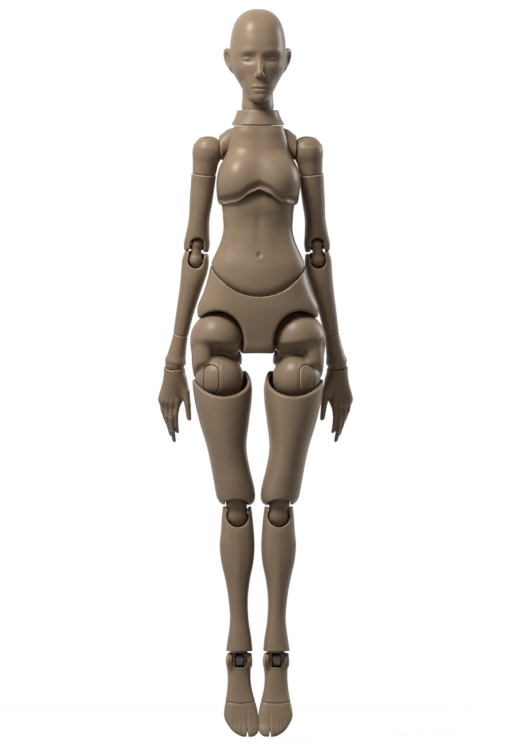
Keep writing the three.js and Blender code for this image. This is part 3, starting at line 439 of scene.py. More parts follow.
def relax(points: np.ndarray, quads: np.ndarray, rounds: int) -> np.ndarray:
    """Points moved half way to their neighbours' mean and nearly back, which smooths without shrinking.

    Args:
        points: the mesh's points.
        quads: the four points of each face.
        rounds: how often they are moved.

    Returns:
        The moved points.
    """
    for _ in range(rounds):
        points = points + 0.5 * mean_step(points, quads)
        points = points - 0.45 * mean_step(points, quads)
    return points


def lip_highlight_share(points: np.ndarray, quads: np.ndarray, step: float) -> np.ndarray:
    """How sharply a surface turns outwards, which sets how much painted highlight each rounded lip gets: the
    inward part of the way to the neighbours' mean, per area.

    Args:
        points: the mesh's points.
        quads: the four points of each face.
        step: spacing of the grid that gave the mesh.

    Returns:
        A share from 0 to 1 for each point.
    """
    corner = points[quads]
    facing = np.cross(corner[:, 2] - corner[:, 0], corner[:, 3] - corner[:, 1])
    sums = [np.bincount(quads.ravel(), np.repeat(facing[:, i], 4), len(points)) for i in range(3)]
    normals = np.stack(sums, 1)
    normals /= np.linalg.norm(normals, axis=1)[:, None] + 1e-9
    turn = -4 * np.sum(mean_step(points, quads) * normals, 1) / step**2
    here, there = neighbours(quads)
    turn = np.bincount(here, turn[there], len(points)) / np.bincount(here, minlength=len(points))
    sharp_from, sharp_span = 0.9, 1.6
    return np.clip((turn - sharp_from) / sharp_span, 0, 1)


def lathe(profile: np.ndarray, sides: int) -> tuple[np.ndarray, list[np.ndarray]]:
    """A profile turned about the X axis: each of its points runs round a circle of its radius.

    Args:
        profile: rows of place along the axis and radius, from pole to pole, without the poles themselves.
        sides: points round each circle.

    Returns:
        The points, and the faces as an array of quads and an array of pole triangles.
    """
    angle = np.linspace(0, 2 * np.pi, sides, endpoint=False)
    along = np.repeat(profile[:, :1], sides, 1)
    y = profile[:, 1:] * np.cos(angle)
    z = profile[:, 1:] * np.sin(angle)
    rings = np.stack([along, y, z], 2).reshape(-1, 3)
    poles = np.array([[profile[0, 0], 0, 0], [profile[-1, 0], 0, 0]])
    ring, side = np.meshgrid(np.arange(len(profile) - 1) * sides, np.arange(sides), indexing="ij")
    step = (side + 1) % sides
    quads = np.stack([ring + side, ring + sides + side, ring + sides + step, ring + step], 2).reshape(-1, 4)
    turn = np.arange(sides)
    following = (turn + 1) % sides
    last = (len(profile) - 1) * sides
    first_pole, last_pole = len(rings), len(rings) + 1
    start = np.stack([np.full(sides, first_pole), turn, following], 1)
    end = np.stack([np.full(sides, last_pole), last + following, last + turn], 1)
    return np.concatenate([rings, poles]), [quads, np.concatenate([start, end])]


def to_object(name: str, points: np.ndarray, faces: Sequence[np.ndarray]) -> bpy.types.Object:
    """A smooth-shaded mesh object from points in metres and arrays of faces.

    Args:
        name: the object's name.
        points: points in metres.
        faces: arrays of faces, with a column for each corner.

    Returns:
        The object, linked to the scene.
    """
    mesh = bpy.data.meshes.new(name)
    corners = np.concatenate([block.ravel() for block in faces]).astype(np.int32)
    sizes = np.concatenate([np.full(len(block), block.shape[1]) for block in faces])
    starts = np.concatenate([[0], np.cumsum(sizes)[:-1]]).astype(np.int32)
    mesh.vertices.add(len(points))
    mesh.vertices.foreach_set("co", points.astype(np.float32).ravel())
    mesh.loops.add(len(corners))
    mesh.loops.foreach_set("vertex_index", corners)
    mesh.polygons.add(len(sizes))
    mesh.polygons.foreach_set("loop_start", starts)
    mesh.polygons.foreach_set("use_smooth", np.ones(len(sizes), bool))
    mesh.update(calc_edges=True)
    made = bpy.data.objects.new(name, mesh)
    bpy.context.scene.collection.objects.link(made)
    return made


# Finishes


def linear(code: str) -> tuple[float, float, float, float]:
    """An sRGB hex colour as linear red, green, blue and alpha."""
    shares = [int(code[i : i + 2], 16) / 255 for i in (1, 3, 5)]
    return (*(s / 12.92 if s <= 0.04045 else ((s + 0.055) / 1.055) ** 2.4 for s in shares), 1.0)


def add_node(
    tree: bpy.types.NodeTree, kind: str, settings: dict[str, Any], sockets: dict[Any, Any]
) -> bpy.types.Node:
    """Adds a node, sets its properties, and gives each named socket a value or a link from an output.

    Args:
        tree: the tree that gets the node.
        kind: the node's type.
        settings: its properties by name.
        sockets: values or outputs by the name or index of an input.

    Returns:
        The new node.
    """
    node = tree.nodes.new(kind)
    for name, value in settings.items():
        setattr(node, name, value)
    for name, value in sockets.items():
        if isinstance(value, bpy.types.NodeSocket):
            tree.links.new(value, node.inputs[name])
        else:
            node.inputs[name].default_value = value
    return node


@dataclass(frozen=True)
class Plastic:
    """Moulded vinyl: one colour with faint mottling, a fine moulded grain and paler rounded edges, a painted
    highlight on each lip.
    """

    name: str
    base: str
    pale: str
    # Colour of the painted highlight on rounded lips
    edge: str
    roughness: tuple[float, float]
    mottle_mm: float = 9.0
    grain_mm: float = 0.45
    grain_depth_mm: float = 0.012

    def material(self) -> bpy.types.Material:
        """The material, whose patterns lie in the piece's own coordinates.

        Returns:
            The material.
        """
        made = bpy.data.materials.new(self.name)
        made.use_nodes = True
        tree = made.node_tree
        shader = tree.nodes["Principled BSDF"]
        place = add_node(tree, "ShaderNodeTexCoord", {}, {}).outputs["Object"]
        cloud = {"Vector": place, "Scale": 1 / (self.mottle_mm * MM), "Detail": 3.0, "Roughness": 0.55}
        mottle = add_node(tree, "ShaderNodeTexNoise", {}, cloud).outputs["Fac"]
        pits = {"Vector": place, "Scale": 1 / (self.grain_mm * MM), "Detail": 2.0}
        grain = add_node(tree, "ShaderNodeTexNoise", {}, pits).outputs["Fac"]
        blend = {"data_type": "RGBA"}
        mixed = {"Factor": mottle, 6: linear(self.base), 7: linear(self.pale)}
        body = add_node(tree, "ShaderNodeMix", blend, mixed).outputs[2]
        # Painted highlight: rounded lips turn toward the edge colour by how sharply they turn outwards
        rim = add_node(tree, "ShaderNodeAttribute", {"attribute_name": "rim"}, {}).outputs["Fac"]
        lip_shine = add_node(tree, "ShaderNodeMath", {"operation": "MULTIPLY"}, {0: rim, 1: 0.9}).outputs[0]
        lit_lips = {"Factor": lip_shine, 6: body, 7: linear(self.edge)}
        skin = add_node(tree, "ShaderNodeMix", blend, lit_lips).outputs[2]
        spread = {"Value": mottle, "From Min": 0.3, "From Max": 0.7, "To Min": self.roughness[0]}
        sheen = add_node(tree, "ShaderNodeMapRange", {}, {**spread, "To Max": self.roughness[1]}).outputs[0]
        relief = {"Height": grain, "Distance": self.grain_depth_mm * MM, "Strength": 0.6}
        bump = add_node(tree, "ShaderNodeBump", {}, relief).outputs[0]
        for socket, value in (("Base Color", skin), ("Roughness", sheen), ("Normal", bump)):
            tree.links.new(value, shader.inputs[socket])
        shader.inputs["IOR"].default_value = 1.46
        shader.inputs["Specular IOR Level"].default_value = 0.3
        return made


@dataclass(frozen=True)
class Metal:
    """Drawn or blackened metal: one colour broken by fine lines along the drawing direction."""

    name: str
    base: str
    bright: str
    roughness: tuple[float, float]
    line_mm: float = 0.12

    def material(self) -> bpy.types.Material:
        """The material, with its lines stretched along X.

        Returns:
            The material.
        """
        made = bpy.data.materials.new(self.name)
        made.use_nodes = True
        tree = made.node_tree
        shader = tree.nodes["Principled BSDF"]
        place = add_node(tree, "ShaderNodeTexCoord", {}, {}).outputs["Object"]
        stretched = {"Vector": place, "Scale": (0.08, 1.0, 1.0)}
        lines = add_node(tree, "ShaderNodeMapping", {}, stretched).outputs[0]
        fine = {"Vector": lines, "Scale": 1 / (self.line_mm * MM), "Detail": 2.0}
        streak = add_node(tree, "ShaderNodeTexNoise", {}, fine).outputs["Fac"]
        mixed = {"Factor": streak, 6: linear(self.base), 7: linear(self.bright)}
        colour = add_node(tree, "ShaderNodeMix", {"data_type": "RGBA"}, mixed).outputs[2]
        spread = {"Value": streak, "To Min": self.roughness[0], "To Max": self.roughness[1]}
        sheen = add_node(tree, "ShaderNodeMapRange", {}, spread).outputs[0]
        tree.links.new(colour, shader.inputs["Base Color"])
        tree.links.new(sheen, shader.inputs["Roughness"])
        shader.inputs["Metallic"].default_value = 1.0
        return made


# Moulded vinyl, taupe: even and semi-matt, so broad soft highlights, and a painted highlight line on each
# rounded lip
SKIN = Plastic("moulded_vinyl_taupe", "#8a745d", "#98826a", "#d3bea2", (0.32, 0.42))
# The harder joint plastic: a little darker and smoother than the skins
JOINT = Plastic("moulded_joint_plastic", "#7d6852", "#8b755f", "#ac967d", (0.36, 0.46))
# Drawn steel wire: bright, with lines along the pin
STEEL = Metal("drawn_steel", "#8c8985", "#aeaba6", (0.36, 0.5))
# Blackened zinc casting: dark, with a dull shine
DARK_METAL = Metal("blackened_zinc", "#3a3633", "#57524d", (0.30, 0.48), 0.4)


# Places in the frame

JOINTS = {joint["name"]: joint for joint in frame["joints"]}


def centre_of(joint: str) -> np.ndarray:
    """A joint's centre at rest, in millimetres."""
    return np.array(JOINTS[joint]["pos_m"]) / MM


def axis_of(joint: str) -> np.ndarray:
    """A joint's axis at rest."""
    return np.array(JOINTS[joint]["axis"], float)


def swing_of(joint: str) -> np.ndarray:
    """A joint's lowest and highest angle, in degrees."""
    return np.array(JOINTS[joint]["range_deg"], float)


@dataclass(frozen=True)
class Place:
    """Where a piece's own drawing lies in the frame: the origin and the three directions as rows."""

    origin: np.ndarray
    turn: np.ndarray

    @classmethod
    def upright(cls) -> "Place":
        """The figure's own frame."""
        return cls(np.zeros(3), np.eye(3))

    @classmethod
    def hung(cls, origin: np.ndarray, across: np.ndarray, up: np.ndarray) -> "Place":
        """A place from its origin and its across and up directions.

        Args:
            origin: the drawing's origin in the frame.
            across: its X direction.
            up: its Z direction.

        Returns:
            The place.
        """
        side = across / np.linalg.norm(across)
        top = up / np.linalg.norm(up)
        return cls(origin, np.stack([side, np.cross(top, side), top]))

    def to_frame(self, points: np.ndarray) -> np.ndarray:
        """Points of the drawing, in the frame."""
        return self.origin + points @ self.turn

    def to_drawing(self, points: np.ndarray) -> np.ndarray:
        """Points of the frame, in the drawing."""
        return (points - self.origin) @ self.turn.T


class Bench:
    """Makes finished pieces that stand for the frame's nodes and ride on their bodies."""

    def __init__(self) -> None:
        """Makes each finish once."""
        self.materials = {finish.name: finish.material() for finish in (SKIN, JOINT, STEEL, DARK_METAL)}

    def box(self, node: str, place: Place) -> tuple[np.ndarray, np.ndarray]:
        """A node's lowest and highest corner in a drawing, in millimetres.

        Args:
            node: the frame's node.
            place: where the drawing lies.

        Returns:
            The two corners.
        """
        mesh = frame["nodes"][node].data
        points = np.empty(len(mesh.vertices) * 3, np.float32)
        mesh.vertices.foreach_get("co", points)
        drawn = place.to_drawing(points.reshape(-1, 3) / MM)
        return drawn.min(0), drawn.max(0)

    def skin(
        self,
        node: str,
        shape: Callable[[Axes], Field],
        finish: Plastic | Metal = SKIN,
        step: float = 0.33,
        place: Optional[Place] = None,
    ) -> None:
        """Makes a piece from a field, and its mirror image if the node is on the left.

        Args:
            node: the frame's node that the piece stands for.
            shape: gives the field on a grid's axes.
            finish: the piece's finish.
            step: spacing of the grid in millimetres.
            place: where the field is drawn, the figure's own frame if left out.
        """
        place = place or Place.upright()
        spacing = step * 1.0
        grid = Grid.around(*self.box(node, place), spacing)
        points, quads = grid.surface(shape(grid.axes()))
        points = relax(points, quads, SMOOTHING_ROUNDS)
        # Painted highlight: how pale each point of a rounded lip is painted
        rim = lip_highlight_share(points, quads, spacing)
        self.both_sides(node, place.to_frame(points), [quads], finish, rim)

    def turned(self, node: str, profile: Rows, place: Place, finish: Plastic | Metal) -> None:
        """Makes a piece from a profile turned about the drawing's X axis."""
        points, faces = lathe(np.array(profile, float), LATHE_SIDES)
        self.both_sides(node, place.to_frame(points), faces, finish, None)

    def peg(self, node: str, place: Place, shaft: float, radius: Optional[float] = None) -> None:
        """Makes a ball peg: the ball is at the drawing's origin, the shaft runs along +X."""
        low, high = self.box(node, place)
        self.turned(node, peg_profile(radius or -low[0], shaft, high[0]), place, JOINT)

    def pin(
        self, node: str, place: Place, radius: float, finish: Metal = STEEL, longest: float = math.inf
    ) -> None:
        """Makes a wire pin along the drawing's X axis, no longer to each side than is told."""
        _, high = self.box(node, place)
        self.turned(node, pin_profile(min(high[0], longest), radius), place, finish)

    def both_sides(
        self,
        node: str,
        points: np.ndarray,
        faces: Sequence[np.ndarray],
        finish: Plastic | Metal,
        rim: Optional[np.ndarray],
    ) -> None:
        """Finishes a piece, and for a left one its mirror image on the right.

        Args:
            node: the frame's node.
            points: points in the frame, in millimetres.
            faces: arrays of faces, with a column for each corner.
            finish: the piece's finish.
            rim: painted highlight share of each point on rounded lips, none if left out.
        """
        self.finish_piece(node, points, faces, finish, rim)
        if node.startswith("left_"):
            twin = node.replace("left_", "right_", 1)
            self.finish_piece(twin, points * (-1, 1, 1), [block[:, ::-1] for block in faces], finish, rim)

    def finish_piece(
        self,
        node: str,
        points: np.ndarray,
        faces: Sequence[np.ndarray],
        finish: Plastic | Metal,
        rim: Optional[np.ndarray],
    ) -> None:
        """Puts points in millimetres into an object, dresses it, and ties it to the node and its body.

        Args:
            node: the frame's node.
            points: points in the frame, in millimetres.
            faces: arrays of faces, with a column for each corner.
            finish: the piece's finish.
            rim: painted highlight share of each point on rounded lips, none if left out.
        """
        made = to_object(f"{node}_piece", points * MM, faces)
        # Painted highlight share on rounded lips, stored per point for the material
        lip_shine = made.data.attributes.new("rim", "FLOAT", "POINT")
        lip_shine.data.foreach_set("value", (np.zeros(len(points)) if rim is None else rim).astype(np.float32))
        made.data.materials.append(self.materials[finish.name])
        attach(made, frame["nodes"][node]["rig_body"])
        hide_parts(node)
        LOG.info("%s: %d faces", made.name, sum(len(block) for block in faces))


def peg_profile(ball_radius: float, shaft: float, length: float) -> list[tuple[float, float]]:
    """Outline of a ball on a shaft: half a circle, then a straight shaft with a broken edge at its end.

    Args:
        ball_radius: the ball's radius.
        shaft: the shaft's radius.
        length: from the ball's centre to the shaft's end.

    Returns:
        Rows of place along the axis and radius.
    """
    meet = math.pi - math.asin(shaft / ball_radius)
    arc = np.linspace(0.08, meet, 24)
    round_end = [(-ball_radius * math.cos(a), ball_radius * math.sin(a)) for a in arc]
    break_edge = 0.25 * shaft
    return [*round_end, (length - break_edge, shaft), (length, shaft - break_edge), (length, 0.2 * shaft)]


def pin_profile(half: float, radius: float) -> list[tuple[float, float]]:
    """Outline of a wire pin: straight, with a broken edge and a shallow centre mark at each end.

    Args:
        half: half the pin's length.
        radius: its radius.

    Returns:
        Rows of place along the axis and radius.
    """
    broken = 0.25 * radius
    mark = [(half - 0.3 * radius, 0.05 * radius), (half, 0.35 * radius)]
    end = [*mark, (half, radius - broken), (half - broken, radius)]
    return [(-along, r) for along, r in end] + [(along, r) for along, r in reversed(end)]


@dataclass
class Torso:
    """Pelvis, abdomen, two chest shells and collar, with the pegs that join them."""

    gap: float = 0.3
    seam: float = 0.14
    waist_radius: float = 19.5
    rim_gap: float = 0.45
    dome: tuple[float, float, float] = (14.5, 9.9, 9.9)
    neck_radius: float = 6.1
    hip_radius: float = 10.2
    peg_shaft: float = 1.8
    waist_ball: float = 4.5
    chest_ball: float = 3.6
    hip_shaft: float = 2.0
    seam_lip: float = 0.2
    chest_top: float = 91.3
    back_edge: float = 60.0
    front_opening: tuple[float, float, float, float] = (16.6, 4.3, 10.8, 12.9)
    back_opening: tuple[float, float, float, float] = (16.6, -4.0, 11.0, 10.8)
    pocket_half: float = 5.56
    pocket_depth: float = 2.0
    pocket_inner: float = 4.4
    pocket_outer: float = 6.8
    pocket_floor: float = 76.4
    pocket_roof: float = 90.2
    pocket_slant: tuple[float, float, float] = (79.6, 0.625, 0.781)
    bust: Point = (7.9, -6.2, 69.6)
    bust_radii: Point = (7.6, 7.6, 8.8)
    bust_blend: float = 3.0
    buttock: Point = (9.0, 7.6, 11.5)
    buttock_radii: Point = (8.8, 8.0, 9.4)
    navel: Point = (0, -10.6, 39.5)
    navel_radii: Point = (0.8, 1.9, 1.35)
    chest_edge: Rows = ((0, 65.8), (4.5, 63.8), (8.5, 60.9), (11.5, 60.2), (15.5, 59.3), (22, 58.4))
    pelvis_rows: Rows = (
        (36, 0, 0, 18.9, 10.4, 11.8),
        (31, 0, 0, 19.9, 10.8, 13.2),
        (25, 0, 0, 21.7, 11, 15),
        (18, 0, 0, 24.3, 10.8, 15.4),
        (12, 0, 0, 23, 9.8, 14.4),
        (6, 0, 0, 19, 8.4, 12),
        (1, 0, 0, 8.6, 6.8, 8.6),
        (0, 0, 0, 7.6, 6, 7.6),
    )
    abdomen_rows: Rows = (
        (62, 0, 0, 14.2, 9.4, 9.2),
        (55, 0, 0, 14.1, 9, 8.9),
        (49.6, 0, 0, 13.9, 8.6, 8.8),
        (46.5, 0, 0, 14.5, 8.7, 9),
        (43.6, 0, 0, 15.5, 8.8, 9.2),
        (39, 0, 0, 17.6, 9.2, 9.8),
        (36, 0, 0, 18.9, 9.6, 10.2),
        (30, 0, 0, 19.6, 10, 11),
        (20, 0, 0, 19.6, 10, 11.5),
    )
    belly: Bumps = (
        ((0, -9.5, 33), (9, 5, 7), 0.9),
        ((0, -9.5, 52), (1.6, 4, 7), -0.35),
        ((8.5, -8, 47), (3, 4, 6), -0.35),
        ((8, -8, 57), (5, 4, 3), 0.3),
        ((13, -6.5, 36), (4, 4, 5), 0.4),
        ((0, -10, 37.9), (1.3, 2, 0.9), 0.3),
    )
    chest_rows: Rows = (
        (91.3, 0, 0, 10.7, 8.2, 8.8),
        (86, 0, 0, 12.1, 8.9, 9.6),
        (80, 0, 0, 13.5, 10, 10.2),
        (74, 0, 0, 15.4, 11.2, 10.4),
        (69, 0, 0, 16.4, 11.6, 10.5),
        (65, 0, 0, 16.6, 11.4, 10.5),
        (61.5, 0, 0, 16.2, 11, 10.6),
        (58.8, 0, 0, 15.5, 10.6, 10.5),
    )
    collar_rows: Rows = (
        (97.7, 0, 1, 8.2, 8.1, 8.2),
        (95, 0, 0.8, 9, 8.5, 8.6),
        (91.4, 0, 0.3, 10.9, 8.8, 8.8),
    )

    def build(self, bench: Bench) -> None:
        """Makes the torso's pieces.

        Args:
            bench: makes and dresses the pieces.
        """
        self.waist = centre_of("waist_bend")
        self.chest = centre_of("chest_bend")
        self.neck = centre_of("neck_tilt")
        self.hip = centre_of("left_hip_swing")
        bench.skin("pelvis", self.pelvis)
        bench.skin("abdomen", self.abdomen)
        bench.skin("chest_front", self.chest_front, step=0.3)
        bench.skin("chest_back", self.chest_back)
        bench.skin("neck_collar", self.collar, step=0.25)
        bench.peg("waist_ball_peg", Place.hung(self.waist, -Z_AXIS, X_AXIS), self.peg_shaft)
        bench.peg("chest_ball_peg", Place.hung(self.chest, Z_AXIS, X_AXIS), self.peg_shaft)

    def middle(self, x: Field) -> Field:
        """1 over the belly, falling to 0 at the flanks."""
        return np.clip((17.5 - x) / 6, 0, 1)

    def pelvis(self, p: Axes) -> Field:
        """Hip shell: sections and buttocks, carved by the waist ball and the leg openings.

        Args:
            p: the grid's coordinates in millimetres.

        Returns:
            The distance to the piece's skin.
        """
        s = mirror_axes(p)
        x, y, z = s
        body = loft(z, x, y, self.pelvis_rows, 2.3)
        body = merge(body, egg(s, self.buttock, self.buttock_radii), 4.0)
        body = swell(body, s, (0, 15.5, 10), (1.2, 5, 8), -1.3)
        body = swell(body, s, (14.5, -9.5, 28), (5, 4, 5), 0.45)
        rim = ball(s, self.waist, self.waist_radius + 0.35) - self.rim_gap * self.middle(x)
        body = carve(body, rim, 0.5)
        fx, fz, fa, fu = self.front_opening
        bx, bz, ba, bu = self.back_opening
        front = np.maximum(oval(x, z, (fx, fz), (fa, fu)), y - self.hip[1])
        back = np.maximum(oval(x, z, (bx, bz), (ba, bu)), self.hip[1] - y)
        opening = np.minimum(np.minimum(front, back), ball(s, self.hip, self.hip_radius + self.gap))
        body = carve(body, opening, 1.0)
        room = self.hip_shaft + self.gap
        body = carve(body, rod(s, Direction.ACROSS, self.hip, room, self.hip[0] - 13.4, self.hip[0]), 0.1)
        room = self.peg_shaft + self.gap
        body = carve(body, rod(s, Direction.UP, self.waist, room, 10.6, self.waist[2]), 0.1)
        return trim(body, -z, 0.8)

    def abdomen(self, p: Axes) -> Field:
        """Belly between two domes, with a soft stomach, a navel and a faint middle line.

        Args:
            p: the grid's coordinates in millimetres.

        Returns:
            The distance to the piece's skin.
        """
        s = mirror_axes(p)
        x, y, z = s
        body = loft(z, x, y, self.abdomen_rows, 2.2)
        body = merge(body, egg(s, self.chest, self.dome), 1.0)
        for bump in self.belly:
            body = swell(body, s, *bump)
        body = carve(body, egg(s, self.navel, self.navel_radii), 0.8)
        lip = 0.7 + 1.9 * self.middle(x)
        body = trim(body, np.minimum(ball(s, self.waist, self.waist_radius), self.waist[2] - z), lip)
        low, high = swing_of("waist_bend")
        room = self.peg_shaft + self.gap
        slot = fan(y, z, self.waist[1:], 24, room, np.linspace(-90 - high, -90 - low, 4))
        peg = np.maximum(np.maximum(slot, x - room), np.where(y < -7, body + 1.0, -9))
        body = carve(body, np.minimum(peg, ball(s, self.waist, self.waist_ball + self.gap)), 0.15)
        low, high = swing_of("chest_bend")
        angles = np.linspace(90 + low, 90 + high, 4)
        return carve(body, peg_room(s, self.chest, 14, room, angles, self.chest_ball + self.gap), 0.15)

    def chest_whole(self, p: Axes) -> Field:
        """Chest before it is split in two: sections and bust, with pockets for the shoulders.

        Args:
            p: the grid's coordinates in millimetres.

        Returns:
            The distance to the piece's skin.
        """
        s = mirror_axes(p)
        x, y, z = s
        body = loft(z, x, y, self.chest_rows, 2.3)
        soft = np.sqrt(x**2 + self.bust_blend**2)
        body = merge(body, egg((soft, y, z), self.bust, self.bust_radii), 4.5)
        body = swell(body, s, (0, -10, 84), (2.2, 4, 7), -0.2)
        body = swell(body, s, (6, -8, 88.6), (4, 4, 1.6), 0.25)
        edge = np.array(self.chest_edge, np.float32)
        front = (spline(edge[:, 0], edge[:, 1], x) - z) * 0.85
        keep = np.where(y < self.chest[1], front, self.back_edge - z)
        under = np.clip(-0.4 - 0.25 * y, 0, 1)
        bead = trim(body + 0.6, np.maximum(keep, -0.5 - keep), 0.2)
        hollow = body + 2.0 * under * np.exp(-(((keep + 1.6) / 1.0) ** 2))
        body = merge(trim(hollow, keep, 1.4), bead, 0.2)
        body = carve(body, egg(s, self.chest, [r + self.gap for r in self.dome]), 0.4)
        top = self.chest[2] + 19 + self.gap
        peg = rod(s, Direction.UP, self.chest, self.peg_shaft + self.gap, self.chest[2], top)
        body = carve(body, peg, 0.1)
        body = carve(body, ball(s, self.neck, self.neck_radius + self.gap), 0.2)
        height, out, rise = self.pocket_slant
        slant = -((x - self.pocket_inner) * out + (z - height) * rise)
        inner = np.maximum(np.maximum(self.pocket_inner - x, slant), z - self.pocket_roof)
        pocket = np.maximum(np.minimum(inner, self.pocket_outer - x), self.pocket_floor - z)
        pocket = np.maximum(pocket, np.abs(y - self.pocket_depth) - self.pocket_half)
        body = carve(body, pocket, 0.4)
        return trim(body, z - self.chest_top - 0.1, 0.25)

    def chest_front(self, p: Axes) -> Field:
        """Front shell: the chest ahead of its seam."""
        return trim(self.chest_whole(p), p[1] - self.chest[1] + self.seam / 2, self.seam_lip)

    def chest_back(self, p: Axes) -> Field:
        """Back shell: the chest behind its seam."""
        return trim(self.chest_whole(p), self.chest[1] + self.seam / 2 - p[1], self.seam_lip)

    def collar(self, p: Axes) -> Field:
        """Neck ring: a flared ring with a rounded top lip and a notch over each shoulder.

        Args:
            p: the grid's coordinates in millimetres.

        Returns:
            The distance to the piece's skin.
        """
        s = mirror_axes(p)
        x, y, z = s
        body = loft(z, x, y, self.collar_rows)
        body = trim(trim(body, z - self.collar_rows[0][0], 0.6), self.chest_top + 0.1 + self.seam - z, 0.25)
        low, high = swing_of("neck_tilt")
        room = self.neck_radius + self.gap
        body = carve(body, swing(s, self.neck, 16, room, np.linspace(85 + low, 85 + high, 5)), 0.5)
        return carve(body, egg(s, (11.3, 1, 91.2), (1.1, 3, 1.0)), 0.3)


@dataclass
class HeadAndNeck:
    """Bald head with a plain calm doll's face, neck and the peg between them."""

    gap: float = 0.3
    neck_radius: float = 6.1
    head_ball: float = 3.0
    head_shaft: float = 1.5
    ear_lean: float = 34.0
    chin_low: float = 100.8
    jaw_rows: Rows = (
        (130, 0, 0.6, 8.2, 10.6, 10),
        (126, 0, 0.2, 9.6, 12.8, 12),
        (122, 0, 0, 10.2, 13.4, 12),
        (118, 0, -0.3, 10.3, 12.8, 11),
        (112.4, 0, -1.6, 9.5, 11.4, 9.5),
        (109.6, 0, -2.8, 8.2, 10.2, 8.4),
        (106.4, 0, -4.4, 6.8, 8.4, 7.2),
        (104, 0, -5.8, 5.4, 6.6, 6.2),
        (102, 0, -7, 4, 4.8, 5.2),
        (100.4, 0, -7.8, 2.4, 3.4, 4.2),
    )

    def build(self, bench: Bench) -> None:
        """Makes the head, the neck and their peg.

        Args:
            bench: makes and dresses the pieces.
        """
        self.head_centre = centre_of("head_nod")
        self.neck_centre = centre_of("neck_tilt")
        bench.skin("head", self.head, step=0.22)
        bench.skin("neck", self.neck, step=0.28)
        rise = Place.hung(self.head_centre, Z_AXIS, X_AXIS)
        bench.peg("head_peg", rise, self.head_shaft, self.head_ball)

    def neck(self, p: Axes) -> Field:
        """Round neck, a little fuller at the collar, hollowed for the ball of the head's peg.

        Args:
            p: the grid's coordinates in millimetres.

        Returns:
            The distance to the piece's skin.
        """
        body = bar(p, self.neck_centre, self.head_centre, self.neck_radius)
        body = swell(body, p, (0, 2, 99.4), (12, 12, 1.8), 0.45)
        low, high = swing_of("head_nod")
        room = self.head_shaft + self.gap
        angles = np.linspace(90 + low, 90 + high, 4)
        return carve(body, peg_room(p, self.head_centre, 9, room, angles, self.head_ball + self.gap), 0.2)

    def head(self, p: Axes) -> Field:
        """Skull and jaw with the face and ears, carved for the neck.

        Args:
            p: the grid's coordinates in millimetres.

        Returns:
            The distance to the piece's skin.
        """
        s = mirror_axes(p)
        x, y, z = s
        ends = np.maximum(self.chin_low - z, z - self.jaw_rows[0][0])
        jaw = trim(loft(z, x, y, self.jaw_rows, 2.2), ends, 1.6)
        body = merge(egg(s, (0, 1, 122.4), (10.85, 14.6, 15.6), 2.45), jaw, 2.0)
        body = self.face(body, s)
        body = merge(body, self.ear(s), 0.7)
        low, high = swing_of("head_nod")
        room = self.neck_radius + self.gap
        body = carve(body, swing(s, self.head_centre, 16, room, np.linspace(-95 + low, -95 + high, 5)), 0.5)
        return carve(body, bar(s, self.head_centre, self.head_centre + (0, 0, 13.3), 1.8), 0.1)

    def face(self, body: Field, s: Axes) -> Field:
        """Brows, closed lids, nose, lips and chin as soft bumps and small rounded forms.

        Args:
            body: the bald head.
            s: the grid's coordinates, both sides folded onto the left.

        Returns:
            The head with its face.
        """
        # Brow, eye hollow, closed lid and its line
        body = swell(body, s, (4.4, -12.8, 120.9), (3.6, 3, 1.5), 0.6)
        body = swell(body, s, (4.2, -13, 117.9), (2.9, 3.4, 1.9), -2.4)
        body = merge(body, egg(s, (4.3, -10.2, 117.8), (2.5, 1.7, 1.4)), 0.4)
        body = swell(body, s, (4.3, -12, 116.8), (2.2, 1.5, 0.25), -0.5)
        # Cheek and the hollow below it
        body = swell(body, s, (7, -9, 113.8), (3, 3.5, 2.2), 0.4)
        body = swell(body, s, (6.4, -8, 108), (2.2, 3, 2.4), -0.35)
        # Nose: bridge, tip, wing and nostril, and the groove below
        body = merge(body, bar(s, (0, -12.2, 119.6), (0, -14.8, 112.2), 0.9, 1.2), 1.5)
        body = merge(body, ball(s, (0, -14.7, 111.6), 1.35), 0.8)
        body = merge(body, ball(s, (1.25, -13.5, 111.1), 0.85), 0.5)
        body = carve(body, egg(s, (0.7, -14.4, 110.3), (0.42, 0.6, 0.4)), 0.15)
        body = swell(body, s, (0, -13, 108.9), (0.5, 1.5, 0.9), -0.2)
        # Lips, the line between them, the hollow below and the chin
        body = merge(body, egg(s, (0, -12.0, 106.8), (3.0, 1.2, 0.8)), 0.7)
        body = merge(body, egg(s, (0, -11.6, 105.1), (2.5, 1.3, 0.9)), 0.7)
        body = swell(body, s, (0, -13, 105.95), (2.8, 1.2, 0.22), -0.5)
        body = swell(body, s, (0, -12.4, 103.7), (1.8, 1.5, 0.6), -0.4)
        return merge(body, ball(s, (0, -9.6, 102.7), 2.4), 2.0)

    def ear(self, s: Axes) -> Field:
        """Shell of the ear: two flat eggs that flare back from the head, hollowed on the front.

        Args:
            s: the grid's coordinates, both sides folded onto the left.

        Returns:
            The distance to the ear's skin.
        """
        x, y, z = s
        lean = math.radians(self.ear_lean)
        flare = x - 11.2 - 0.14 * (z - 117.4)
        out = flare * math.cos(lean) - (y - 2.0) * math.sin(lean)
        back = flare * math.sin(lean) + (y - 2.0) * math.cos(lean)
        own = (out, back - 0.12 * (z - 117.4), z)
        shell = egg(own, (0, 0, 118.3), (0.95, 3.2, 4.1), 2.3)
        shell = merge(shell, egg(own, (0, -0.7, 114.4), (0.85, 1.7, 2.2)), 1.2)
        return carve(shell, egg(own, (0.9, 0.2, 118.1), (0.8, 1.8, 2.7)), 0.3)


